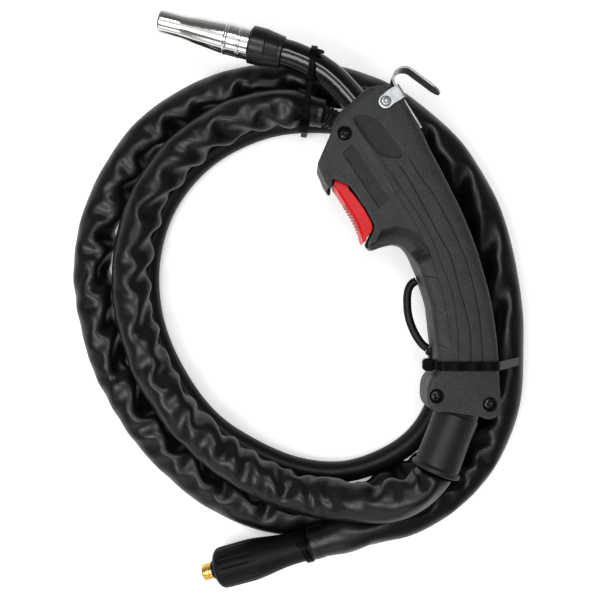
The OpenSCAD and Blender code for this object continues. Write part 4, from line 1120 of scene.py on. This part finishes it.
nv = sweep(np.array(neck_path), neck_field, 72, inner=-1)
nb_outer = len(neck_path) * 72
inner_f = sweep(np.array(neck_path), lambda S, P: 5.12 + 0 * S, 72, inner=-1)
nf = tube_faces(len(neck_path), 72, caps=False)
nf2 = [tuple(i + nb_outer for i in f[::-1]) for f in nf]
caps = []
for k in range(72):
    k2 = (k + 1) % 72
    caps.append((k2, k, nb_outer + k, nb_outer + k2))
    e = (len(neck_path) - 1) * 72
    caps.append((e + k, e + k2, nb_outer + e + k2, nb_outer + e + k))
allv = np.vstack([nv, inner_f])
piece("neck_sleeve_skin", allv, orient(allv, nf + nf2 + caps), "neck", replaces="neck_sleeve", sharp=50)

# Belt hook: strip bent to a hook, saddle round the head, rivet
ba = rad(back_ang)
ex, ey = np.array([math.cos(ba), math.sin(ba), 0]), np.array([-math.sin(ba), math.cos(ba), 0])
R0 = np.array([riv[0], riv[1], 0])


def back(x, y, z=0.0):
    return R0 + ex * x + ey * y + np.array([0, 0, z])


xm = 9.8 + 1.55 + 0.575
cc = (9.8 + 1.55 + 7.1, 7.0)
hp_pts = [back(xm, y) for y in np.linspace(-21.4, 6.6, 20)]
for a in np.linspace(180, 21.5, 34):
    hp_pts.append(back(cc[0] + 6.525 * math.cos(rad(a)), cc[1] + 6.525 * math.sin(rad(a))))
ca, sa = math.cos(rad(21.5)), math.sin(rad(21.5))
arm_s = np.concatenate([np.linspace(0.8, 14.6, 14), np.linspace(15.2, 20.95, 14)])
for s in arm_s:
    hp_pts.append(back(cc[0] + 6.525 * ca + s * sa, cc[1] + 6.525 * sa - s * ca))
hw = []
for i in range(20 + 34):
    hw.append((41.02, 52.98) if i > 1 else (41.3, 52.7))
for s in arm_s:
    h = 5.98 if s < 15 else math.sqrt(max(0.2, 36 - (max(0, s - 15)) ** 2)) - 0.02
    hw.append((47 - h, 47 + h))
v, f = strip(hp_pts, hw, 1.12, (0, 0, 1), r=0.22)
piece("hook_strip", v, f, "zinc", "hanger", "hanger_hook", sharp=50)

sad = []
for x in np.concatenate([-4 * np.cos(np.linspace(0.12, math.pi / 2, 10))]):
    sad.append((x, 64.9))
for x in np.linspace(0.8, 9.4, 10):
    sad.append((x, 64.9))
for a in np.linspace(90, 0, 7):
    sad.append((10.0 + 0.75 * math.cos(rad(a)), 64.15 + 0.75 * math.sin(rad(a))))
for z in np.linspace(62.4, 31.6, 14):
    sad.append((10.75, z))
for a in np.linspace(0, -90, 7):
    sad.append((10.0 + 0.75 * math.cos(rad(a)), 29.85 + 0.75 * math.sin(rad(a))))
for x in np.linspace(9.4, 0.8, 10):
    sad.append((x, 29.1))
for x in np.concatenate([-4 * np.cos(np.linspace(math.pi / 2, 0.12, 10))]):
    sad.append((x, 29.1))
sw_ = []
for x, z in sad:
    if x < 0:
        h = math.sqrt(max(0.3, 16 - x * x)) - 0.03
        sw_.append((-h, h))
    else:
        sw_.append((-4.0 + 0.4 * smooth(0, 3, x), 4.0 + 0.6 * smooth(0, 4, x)))
v, f = strip([back(x, 0, z) for x, z in sad], sw_, 1.12, ey, r=0.22)
# Pressed ring round the upper rivet hole
pr = [lathe_mesh(fillet([(1.75, -0.2), (3.05, -0.2), (3.05, 0.14), (2.75, 0.3), (1.75, 0.3)], 0.1, 2), 48)]
ring_v, ring_f = pr[0]
A_t = axes((riv[0], riv[1], 65.35), (0, 0, 1), (1, 0, 0))
v, f = join([(v, f), (place(A_t, ring_v), ring_f)])
piece("hook_saddle_plate", v, f, "zinc", "hanger", "hanger_saddle", sharp=50)
prof = [(0, 65.35), (0, 65.35)]
prof = [(0, -19.65), (1.5, -19.65), (2.3, -19.5), (2.75, -19.0), (2.8, -18.3), (1.5, -18.2), (1.5, 18.75), (2.75, 18.85), (2.7, 19.3), (2.2, 19.9),
        (1.5, 20.0), (1.15, 19.75), (0.9, 19.35), (0, 19.3)]
lathe("hook_rivet", axes((riv[0], riv[1], MID), (0, 0, 1), (1, 0, 0)), prof, "zinc", "hanger_screw", 64, sharp=40)


# Screws with a cross recess
def relief_disc(center, r_out, z_of, rings, lines, r_bot, z_bot):
    """Round head whose top follows z_of(x, y); lines are outlines that need crisp edges."""
    pts = []
    n = 56
    for r in rings:
        for k in range(n):
            a = 2 * math.pi * (k + (0.5 if rings.index(r) % 2 else 0)) / n
            pts.append((r * math.cos(a), r * math.sin(a)))
    outer = [(r_out * math.cos(2 * math.pi * k / n), r_out * math.sin(2 * math.pi * k / n)) for k in range(n)]
    pts = outer + [(0.0, 0.0)] + [p for p in pts if math.hypot(*p) < r_out - 0.05] + [p for l in lines for p in l]
    uniq, seen = [], set()
    for p in pts:
        key = (round(p[0] / 0.045), round(p[1] / 0.045))
        if key not in seen:
            seen.add(key)
            uniq.append(p)
    resd = delaunay_2d_cdt([Vector(p) for p in uniq], [], [list(range(n))], 1, 1e-6)
    v2 = np.array([tuple(q) for q in resd[0]])
    t3 = [f for f in resd[2] if len(f) == 3]
    zz = z_of(v2[:, 0], v2[:, 1])
    v = np.column_stack([v2, zz])
    where = {}
    for i, src in enumerate(resd[3]):
        for q in src:
            where[q] = i
    ring = [where[k] for k in range(n)]
    fcs = []
    for a, b, c in t3:
        ar = (v2[b][0] - v2[a][0]) * (v2[c][1] - v2[a][1]) - (v2[b][1] - v2[a][1]) * (v2[c][0] - v2[a][0])
        fcs.append((a, b, c) if ar > 0 else (a, c, b))
    base = len(v)
    low = []
    for r, z in ((r_out, float(zz[ring].min()) - 0.5), (r_bot, float(zz[ring].min()) - 0.6), (r_bot, z_bot)):
        low.append(np.array([(r * math.cos(2 * math.pi * k / n), r * math.sin(2 * math.pi * k / n), z) for k in range(n)]))
    v = np.vstack([v] + low)
    rr = [ring] + [list(range(base + i * n, base + (i + 1) * n)) for i in range(3)]
    for a, b in zip(rr[:-1], rr[1:]):
        for k in range(n):
            k2 = (k + 1) % n
            fcs.append((a[k], b[k], b[k2], a[k2]))
    fcs.append(tuple(rr[-1][::-1]))
    return v + np.array([center[0], center[1], 0]), fcs


def cross_z(x, y, turn):
    c, s = math.cos(turn), math.sin(turn)
    u, w = x * c + y * s, -x * s + y * c
    r = np.hypot(x, y)
    arm = np.maximum(smooth(0.52, 0.40, np.abs(u)) * smooth(1.95, 1.75, np.abs(w)),
                     smooth(0.52, 0.40, np.abs(w)) * smooth(1.95, 1.75, np.abs(u)))
    dome = 62.1 - 0.75 * (r / 3.3) ** 2.4 - 0.35 * smooth(3.0, 3.3, r)
    return dome - arm * (1.5 - 0.45 * r)


parts = []
for s, turn in zip(screws, (0.4, 0.95, 0.15)):
    lines = []
    c, q = math.cos(turn), math.sin(turn)
    for d in (0.34, 0.46, 0.58):
        for t in np.linspace(-2.0, 2.0, 33):
            for u, w in ((d, t), (-d, t), (t, d), (t, -d)):
                lines.append([(u * c - w * q, u * q + w * c)])
    parts.append(relief_disc(s, 3.3, lambda x, y, turn=turn: cross_z(x, y, turn), [0.8, 1.4, 2.1, 2.5, 2.8, 3.05, 3.2], lines, 1.5, 31.8))
v, f = join(parts)
piece("handle_screw_heads", v, f, "screw", replaces="handle_screws", sharp=40)

# Trigger: rounded front edges, ribs along the middle of the front
t_front = curve2([(18.6, 64.2), (20.8, 60.6), (23.6, 56.0), (26.0, 52.4), (28.3, 48.7), (30.4, 45.0), (32.0, 41.6), (33.3, 38.0), (34.3, 34.6),
                  (34.9, 32.6)], 0.25)
t_rest = curve2([(34.9, 32.6), (35.7, 32.1), (36.6, 33.0), (37.3, 34.9), (39.2, 36.8), (40.3, 38.9), (40.1, 42.4), (36.2, 50.0), (30.5, 58.1),
                 (27.0, 62.5), (27.7, 66.4), (27.2, 70.0), (24, 72.2), (21, 69.8), (19.4, 67.4), (18.6, 64.2)], 0.5)
tq = np.vstack([t_front[:-1], t_rest[:-1]])
ts = np.concatenate([[0], np.cumsum(np.linalg.norm(np.diff(tq, axis=0), axis=1))])
nf = len(t_front) - 1
tf = ts[nf]
if 0.5 * sum(tq[i][0] * tq[(i + 1) % len(tq)][1] - tq[(i + 1) % len(tq)][0] * tq[i][1] for i in range(len(tq))) < 0:
    tq, ts = tq[::-1], ts[::-1]
tt = np.roll(tq, -1, axis=0) - np.roll(tq, 1, axis=0)
tt /= np.linalg.norm(tt, axis=1)[:, None]
t_in = np.stack([-tt[:, 1], tt[:, 0]], 1)
t_r = 0.5 + 2.3 * smooth(1.5, 6, ts) * smooth(tf - 1.0, tf - 5.5, ts)
rib_on = smooth(11.0, 13.0, ts) * smooth(tf - 4.5, tf - 6.5, ts)
rib = rib_on * (0.62 * np.clip(np.cos(2 * math.pi * ts / 1.95), -0.35, 1) + 0.1)
rings, rib_groove_shade = [], []
half = 11.95
for side_ in (-1, 1):
    seq = [(90 - 15 * k) for k in range(7)]
    if side_ > 0:
        seq = seq[::-1]
    for a in seq:
        ins = t_r * (1 - math.cos(rad(a)))
        zz_ = half - t_r * (1 - math.sin(rad(a)))
        k = float(smooth(60, 20, a))
        rings.append(np.column_stack([tq + t_in * (ins - rib * k)[:, None], MID + side_ * zz_]))
        rib_groove_shade.append(rib_on * np.clip(-np.cos(2 * math.pi * ts / 1.95), 0, 1) * 0.75 * k)
    if side_ < 0:
        for zz_ in np.linspace(-6, 6, 3):
            rings.append(np.column_stack([tq - t_in * rib[:, None], np.full(len(tq), MID + zz_)]))
            rib_groove_shade.append(rib_on * np.clip(-np.cos(2 * math.pi * ts / 1.95), 0, 1) * 0.75)
n = len(tq)
v = np.vstack(rings)
f = []
for i in range(len(rings) - 1):
    for k in range(n):
        k2 = (k + 1) % n
        f.append((i * n + k, i * n + k2, (i + 1) * n + k2, (i + 1) * n + k))
for ring, off, flip in ((rings[0], 0, True), (rings[-1], (len(rings) - 1) * n, False)):
    rd = delaunay_2d_cdt([Vector(p[:2]) for p in ring.tolist()], [], [list(range(n))], 1, 1e-6)
    back_to = [src[0] for src in rd[3]]
    for t3 in rd[2]:
        q = [back_to[i] for i in t3]
        ar = ((ring[q[1]][0] - ring[q[0]][0]) * (ring[q[2]][1] - ring[q[0]][1])
              - (ring[q[1]][1] - ring[q[0]][1]) * (ring[q[2]][0] - ring[q[0]][0]))
        if (ar > 0) == flip:
            q = q[::-1]
        f.append(tuple(off + i for i in q))
o = piece("trigger_moulding", v, orient(v, f), "red", "trigger", "trigger", sharp=50)
# Painted shade at the bottoms of the grooves between the ribs
at_ = o.data.attributes.new("shade", "FLOAT", "POINT")
at_.data.foreach_set("value", np.concatenate(rib_groove_shade).astype(np.float32))
# ---------------------------------------------------------------- boot, sleeve, ties, plug
b_dir = direction(-111)
A_boot = axes((90, -63, MID), b_dir)
prof = [(7.45, -5.3), (13.0, -5.3), (13.45, -4.9), (13.45, -3.1), (12.9, -2.7), (12.05, -2.6), (12.0, 1.2), (12.3, 2.0), (12.75, 2.6), (12.85, 4.2),
        (12.55, 12), (12.7, 22), (12.9, 31.2), (12.75, 32.6), (12.72, 33.3), (13.6, 33.8), (14.15, 34.3), (14.3, 35.2), (14.2, 36.3), (13.6, 36.95),
        (12.2, 37.0), (11.2, 36.6), (10.8, 35.4), (10.7, 33.0), (7.45, 32.6)]


def boot_soft(r, z, th):
    if r < 11 or z < 2 or z > 33:
        return np.zeros_like(th)
    k = float(smooth(3, 9, z) * smooth(33, 27, z))
    return k * (0.16 * np.cos(2 * (th - 0.9)) + 0.13 * np.exp(-((np.mod(th - 0.55 + math.pi, 2 * math.pi) - math.pi) / 0.2) ** 2)
                - 0.10 * np.exp(-((np.mod(th - 0.15 + math.pi, 2 * math.pi) - math.pi) / 0.25) ** 2))


lathe("boot_moulding", A_boot, fillet(prof, 0.6, 3), "boot", "cable_boot", 128, radial=boot_soft, sharp=60)

# Ribbed sleeve between the sheath's mouth and the bare hose
p0, p1 = np.array(inner_route[-1], float), np.array(bare_route[0], float)
A_str = axes(p0, p1 - p0)
L = float(np.linalg.norm(p1 - p0))
prof = [(0, 0.35), (4.9, 0.35), (5.2, 0.6)]
for i in range(6):
    z = 1.4 + i * 2.5
    prof += [(5.2, z - 0.25), (5.5, z), (6.0, z + 0.12), (6.12, z + 0.65), (6.0, z + 1.18), (5.5, z + 1.3), (5.2, z + 1.5)]
prof += [(5.2, L - 0.8), (4.9, L - 0.35), (0, L - 0.35)]
prof = [q for i, q in enumerate(prof) if i == 0 or q[1] >= prof[i - 1][1] - 1e-6]
sleeve = lathe("strain_sleeve_ribs", A_str, prof, "rubber", "strain_sleeve", 72, sharp=60)


# Cable ties
def hull_path(circles, n=72, step=1.2):
    """Closed convex path round circles (x, z, r), evenly spaced."""
    pts = []
    for x, z, r in circles:
        for k in range(n):
            a = 2 * math.pi * k / n
            pts.append((x + r * math.cos(a), z + r * math.sin(a)))
    pts = sorted(set((round(a, 5), round(b, 5)) for a, b in pts))

    def half(seq):
        out = []
        for p in seq:
            while len(out) > 1 and ((out[-1][0] - out[-2][0]) * (p[1] - out[-2][1])
                                    - (out[-1][1] - out[-2][1]) * (p[0] - out[-2][0])) <= 0:
                out.pop()
            out.append(p)
        return out
    lo, hi = half(pts), half(pts[::-1])
    hull = lo[:-1] + hi[:-1]
    P = np.array(hull + hull[:1])
    d = np.concatenate([[0], np.cumsum(np.linalg.norm(np.diff(P, axis=0), axis=1))])
    m = int(d[-1] / step)
    s = np.linspace(0, d[-1], m, endpoint=False)
    return np.stack([np.interp(s, d, P[:, 0]), np.interp(s, d, P[:, 1])], 1)


def tie(name, origin, xdir, circles, width, thick, node, extras, ripple=None, r=0.25):
    hx = np.array([math.cos(rad(xdir)), math.sin(rad(xdir)), 0])
    path2 = hull_path([(x, z, q + thick / 2) for x, z, q in circles])
    pts = [np.array([origin[0], origin[1], 0]) + hx * x + np.array([0, 0, z]) for x, z in path2]
    wd = np.array([-hx[1], hx[0], 0])
    rp = None if ripple is None else [ripple(x, z) for x, z in path2]
    v, f = strip(pts, [(-width / 2, width / 2)] * len(pts), thick, wd, r=r, closed=True, ripple=rp)
    v, f = join([(v, f)] + extras)
    return piece(name, v, f, "tie", replaces=node, sharp=45)


def ratchet_tail(A, length, width, thick, teeth=True):
    """A cut end of strap with its saw teeth, along local x."""
    parts = []
    n = max(2, int(length / 0.9))
    pts, wds = [], []
    for i in range(n * 4 + 1):
        x = length * i / (n * 4)
        pts.append((x, 0, 0.13 * ((i % 4) / 3.0) if teeth else 0))
        wds.append((-width / 2, width / 2))
    v, f = strip([np.array(p) for p in pts], wds, thick, (0, 1, 0), r=0.15)
    return place(A, v), f


hx = direction(82)
hy = np.array([-hx[1], hx[0], 0])
o1 = np.array([3.0, 106.0, 0])
# Head beside the sheath, lock cube on the strap, and the cut tail over the neck
A_h = (o1 + hx * 7.1 + np.array([0, 0, 25.8]), *[None] * 3)
c150, s150 = math.cos(rad(-150)), math.sin(rad(-150))
lx = hx * c150 + np.array([0, 0, -s150])
lz = hx * s150 + np.array([0, 0, c150])
head = block((A_h[0], lx, hy, lz), (9.9 + 0.9, -2.9, -3), (9.9 + 0.9 + 4.4, 2.9, 3), 0.55)
head2 = block((A_h[0], lx, hy, lz), (9.9 + 2.2, -2.2, 2.9), (9.9 + 4.6, 2.2, 3.7), 0.3)
front = [(28.5, MID, 9.4), (28.3, 11.45, 10.2), (7.1, 25.8, 10.3), (2.9, 8.8, 7.7)]
fp = hull_path([(x, z, q + 0.55) for x, z, q in front])
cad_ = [i for i in range(len(fp)) if fp[i][1] > 30]
i0 = min(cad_, key=lambda i: abs(fp[i][0] - 17.6))
ft = unit([fp[(i0 + 1) % len(fp)][0] - fp[i0 - 1][0], fp[(i0 + 1) % len(fp)][1] - fp[i0 - 1][1]])
fn = np.array([-ft[1], ft[0]]) * (1 if ft[0] > 0 else -1)
lock = block((o1 + hx * fp[i0][0] + np.array([0, 0, fp[i0][1]]), hx * ft[0] + np.array([0, 0, ft[1]]), hy,
              hx * fn[0] + np.array([0, 0, fn[1]])), (-1.5, -2.3, -0.2), (1.5, 2.3, 1.9), 0.35)
tail_o = o1 + hx * 32.8 + np.array([0, 0, 55.0])
tails = []
for k, (dx, dz, ln) in enumerate(((0.0, 0.0, 3.6), (1.3, -0.8, 4.6), (2.6, -1.8, 3.6))):
    tails.append(ratchet_tail((tail_o + hx * dx + np.array([0, 0, dz]) - hy * (0.9 + 0.5 * k), -hy * 0.96 + hx * (0.10 - 0.12 * k),
                               hx * 0.75 - np.array([0, 0, 0.66]), hx * 0.66 + np.array([0, 0, 0.75])), ln, 1.5, 0.8))
def front_ripple(x, z):
    return (0.45 * math.exp(-((x - 24.4) / 1.9) ** 2) + 0.3 * math.exp(-((x - 33.2) / 1.6) ** 2)) if z > 40 else 0.0


tie("tie_front_strap", (3, 106), 82, front, 3.6, 1.1, "cable_tie_front", [head, head2, lock] + tails, ripple=front_ripple)


def rear_ripple(x, z):
    return sum(0.75 * math.exp(-((x - c) / 2.1) ** 2) for c in (86.4, 96.6, 104.6)) if z > 60 else 0.0


A_r = axes((0, -36.4, 0), (0, 0, 1), (1, 0, 0))
rear_head = block(A_r, (69.8, -3.4, MID + 2), (74.8, 3.4, MID + 8.6), 0.6)
rear_slot = block(A_r, (69.0, -2.4, MID + 3.2), (70.2, 2.4, MID + 7.2), 0.3)
tie("tie_rear_strap", (0, -36.4), 0, [(80.3, MID + 12.7, 4.5), (105.5, MID + 12.7, 4.6), (80.3, MID - 12.7, 4.5), (123.7, 14.4, 10.15),
                                     (104, 11.5, 10.15), (87.2, 8.1, 7.1)], 5.0, 1.1, "cable_tie_rear", [rear_head, rear_slot], ripple=rear_ripple)

# Plug
pr_, pf_ = np.array([11.4, -143.2, 26.5]), np.array([-50, -163.5, 14.6])
plug_len = float(np.linalg.norm(pf_ - pr_))
p_dir = unit(pf_ - pr_)
p_x = unit(np.cross(np.cross(p_dir, (0, 0, 1)), p_dir))
A_plug = axes(pr_, p_dir, -p_x)
zz = np.concatenate([np.linspace(0.4, 3, 4), np.linspace(5, 30, 14), np.linspace(31, plug_len - 12, 16), np.linspace(plug_len - 11.4, plug_len - 4, 16)])


def grip_r(z):
    return float(np.interp(z, [0.4, 12, 17, 22, 27, 32, 38, 43, plug_len - 7], [9.15, 9.15, 9.25, 9.55, 10.15, 10.9, 11.75, 12.15, 12.15]))


prof = [(0, 0.4), (8.6, 0.4), (9.15, 0.9)] + [(grip_r(z), z) for z in zz[1:]]
for a in np.linspace(4, 86, 12):
    prof.append((12.15 - 5.2 + 5.2 * math.cos(rad(a)), plug_len - 4 + 4 * math.sin(rad(a)) - 0.02))
prof += [(6.4, plug_len), (6.12, plug_len - 0.15), (6.1, plug_len - 30), (0, plug_len - 30)]


def flutes(r, z, th):
    if r < 8 or z > plug_len - 0.5:
        return np.zeros_like(th)
    k = float(smooth(plug_len - 31, plug_len - 21, z) * smooth(plug_len - 4.2, plug_len - 6.2, z))
    ph = np.mod(th * 15 / (2 * math.pi) + 0.5, 1) - 0.5
    arc = ph * 2 * math.pi * r / 15
    return k * (-0.55 * np.exp(-(arc / 0.36) ** 2) + 0.18 * np.cos(ph * 2 * math.pi + math.pi) ** 2 * 0.8)


grip = lathe("plug_grip_moulding", A_plug, prof, "plug", "plug_grip", 300, radial=flutes, sharp=60)
prof = [(0, plug_len - 29.4), (5.95, plug_len - 29.4), (5.95, plug_len - 0.6), (5.0, plug_len - 0.55), (5.0, plug_len + 0.85), (4.85, plug_len + 0.95),
        (4.1, plug_len + 1.0), (4.1, plug_len + 2.7), (4.85, plug_len + 2.75), (5.0, plug_len + 2.9), (5.0, plug_len + 4.6), (4.85, plug_len + 4.75),
        (4.85, plug_len + 5.05), (5.0, plug_len + 5.2), (5.0, plug_len + 8.3), (4.75, plug_len + 8.75), (4.3, plug_len + 8.97), (2.2, plug_len + 8.97),
        (1.6, plug_len + 8.6), (1.4, plug_len + 8.2), (1.4, plug_len + 4.2), (0, plug_len + 4.2)]
pin = lathe("plug_pin_turned", A_plug, prof, "brass", "plug_pin", 96, sharp=50)
th = np.linspace(0, 2 * math.pi, 16, endpoint=False)
prof = [(4.85 + 0.78 * math.cos(t), plug_len + 1.85 + 0.78 * math.sin(t)) for t in th]
seal = lathe("plug_ring_seal", A_plug, prof, "rubber", "plug_o_ring", 80, sharp=None)
ties_v = []
prof = [(9.55, 6.05), (10.35, 6.05), (10.6, 6.3), (10.6, 9.3), (10.35, 9.55), (9.55, 9.55)]
v, f = lathe_mesh(prof, 96)
ca, sa = math.cos(rad(205)), math.sin(rad(205))
A_pt = (A_plug[0], A_plug[1] * ca + A_plug[2] * sa, -A_plug[1] * sa + A_plug[2] * ca, A_plug[3])
hb = block(A_pt, (10.2, -2.6, 5.1), (14.6, 2.6, 10.5), 0.5)
hb2 = block(A_pt, (14.2, -1.9, 6.2), (15.2, 1.9, 9.4), 0.25)
v, f = join([(place(A_plug, v), f), hb, hb2])
plug_tie = piece("tie_plug_strap", v, f, "tie", replaces="cable_tie_plug", sharp=45)

# Grommets
parts = []
for g, ang in (((69.2, 11.9, 40), 204), ((75.2, -29.3, 39.6), 141)):
    v, f = lathe_mesh(fillet([(1.6, -4.9), (3.0, -4.9), (3.05, -0.4), (3.1, 0.3), (2.9, 1.2), (2.5, 1.4), (2.42, 1.0), (1.6, 0.8)], 0.2, 2), 48)
    parts.append((place(axes(g, direction(ang)), v), f))
v, f = join(parts)
piece("lead_bushes", v, f, "rubber", replaces="lead_grommets", sharp=50)

# Cable and wires inside the handle
pc, _ = catmull([[66.8, 71.2, 47], [74, 61, 47], [81, 46.4, 47], [86.6, 29, 47], [90.6, 9, 47], [93, -12, 47], [94, -32, 47], [93.4, -50, 47],
                 [89.6, -64, 47], [83.4, -80, 47], [77.1, -96.4, 47]], 1.5)
piece("power_cable_jacket", sweep(pc, lambda S, P: 5.35 + 0 * S, 36), tube_faces(len(pc), 36), "rubber", replaces="power_cable", sharp=40)
parts = []
for w in ([[53, 66.9, 47], [58, 65, 45], [63, 56.5, 42], [68, 44, 41], [72, 30, 41], [75, 19, 40.8], [76, 15.6, 40.8]],
          [[48.4, 73.8, 47], [54, 73.4, 43], [61, 64.6, 39.6], [67.4, 51, 38.6], [72.4, 36, 38.4], [76.6, 22, 38.6], [77.6, 16, 38.8]],
          [[79.3, -33, 40.2], [82, -38, 39.6], [86, -44, 40], [88.4, -48, 41.4]],
          [[79, -34.4, 38.4], [81.5, -40, 37.4], [86, -46, 37.6], [89, -49.4, 38.6]]):
    wp, _ = catmull(w, 0.7)
    parts.append((sweep(wp, lambda S, P: 0.7 + 0 * S, 14), tube_faces(len(wp), 14)))
v, f = join(parts)
piece("switch_wire_insulation", v, f, "wire", replaces="switch_wires", sharp=50)


def coil(r, wire, turns, h, steps=36):
    t = np.arange(turns * steps + 1) / steps
    return np.stack([r * np.cos(2 * math.pi * t), r * np.sin(2 * math.pi * t), wire + (h - 2 * wire) * t / turns], 1)


def wire_tube(path, r, n=12):
    t = np.gradient(path, axis=0)
    t /= np.linalg.norm(t, axis=1)[:, None]
    ref = np.array([0, 0, 1.0])
    s = np.cross(ref, t)
    s /= np.linalg.norm(s, axis=1)[:, None]
    u = np.cross(t, s)
    a = np.linspace(0, 2 * math.pi, n, endpoint=False)
    v = path[:, None, :] + r * (np.cos(a)[None, :, None] * s[:, None, :] + np.sin(a)[None, :, None] * u[:, None, :])
    v = v.reshape(-1, 3)
    return v, orient(v, tube_faces(len(path), n))


v, f = wire_tube(coil(6.6, 0.45, 4, 9), 0.44)
piece("nozzle_spring_wire", place((A_noz[0] + A_noz[3] * 4, A_noz[1], A_noz[2], A_noz[3]), v), f, "steel", replaces="nozzle_spring", sharp=None)

# Finishes of the CAD nodes that stay
for node, mat in (("contact_tip", "copper"), ("tip_holder", "brass"), ("neck_tube", "brass"), ("wire_liner", "liner"), ("neck_nut", "brass"),
                  ("neck_block", "brass"), ("handle_nuts", "steel"), ("trigger_pin", "steel"), ("trigger_spring", "steel"),
                  ("switch_body", "insulator"), ("switch_plunger", "cream"), ("switch_terminals", "brass"), ("cable_lug", "copper"),
                  ("plug_set_screw", "steel")):
    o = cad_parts[node]
    o.data.materials.clear()
    o.data.materials.append(M[mat])

# ---------------------------------------------------------------- floor, light
fm = bpy.data.meshes.new("floor")
fm.from_pydata([(-3, -3, 0), (3, -3, 0), (3, 3, 0), (-3, 3, 0)], [], [(0, 1, 2, 3)])
floor = bpy.data.objects.new("floor", fm)
bpy.context.scene.collection.objects.link(floor)
fm.materials.append(material("floor_white", (0.86, 0.86, 0.86), (0.865, 0.865, 0.865), rough=(0.8, 0.85), grain=(50, 0.00001, 0.05)))
for node in fm.materials[0].node_tree.nodes:
    if node.bl_idname == "ShaderNodeBsdfPrincipled":
        node.inputs["Emission Color"].default_value = (1, 1, 1, 1)
        node.inputs["Emission Strength"].default_value = 0.33

world = bpy.data.worlds.new("studio")
bpy.context.scene.world = world
world.use_nodes = True
wt = world.node_tree
wbg = wt.nodes["Background"]
wtc = wt.nodes.new("ShaderNodeTexCoord")
wsep = wt.nodes.new("ShaderNodeSeparateXYZ")
wramp = wt.nodes.new("ShaderNodeValToRGB")
for pos, val in ((0.0, 0.8), (0.12, 0.45), (0.45, 0.28), (0.72, 0.14), (0.95, 0.14)):
    e = wramp.color_ramp.elements[0] if pos == 0 else wramp.color_ramp.elements[-1] if pos == 0.95 else wramp.color_ramp.elements.new(pos)
    e.position = pos
    e.color = (val, val, val, 1)
wt.links.new(wtc.outputs["Generated"], wsep.inputs["Vector"])
wt.links.new(wsep.outputs["Z"], wramp.inputs["Fac"])
wt.links.new(wramp.outputs["Color"], wbg.inputs["Color"])
wbg.inputs["Strength"].default_value = 1.0


def area(name, loc, size, power, turn=0.0, target=None):
    """Soft light above the object, facing down; turn is its angle in plan, in degrees."""
    d = bpy.data.lights.new(name, "AREA")
    d.shape = "RECTANGLE"
    d.size, d.size_y = size
    d.energy = power
    o = bpy.data.objects.new(name, d)
    bpy.context.scene.collection.objects.link(o)
    o.location = loc
    o.rotation_euler = (0, 0, rad(turn))
    if target:
        o.rotation_euler = (Vector(target) - Vector(loc)).to_track_quat("-Z", "Y").to_euler()


area("panel", (-0.2, -0.27, 1.06), (1.1, 1.25), 3.0)
area("strip_over", (-0.06, 0.28, 1.03), (0.6, 0.2), 2.6, turn=-41)
area("strip_side", (-0.5, -0.32, 1.03), (0.7, 0.38), 4.9, turn=-41)
area("low_front", (-0.35, -1.0, 0.5), (0.9, 0.45), 1.4, target=(-0.05, 0.1, 0))

scene = bpy.context.scene
scene.view_settings.view_transform = "Standard"
scene.view_settings.look = "Medium High Contrast"
scene.view_settings.exposure = 0
scene.view_settings.gamma = 1
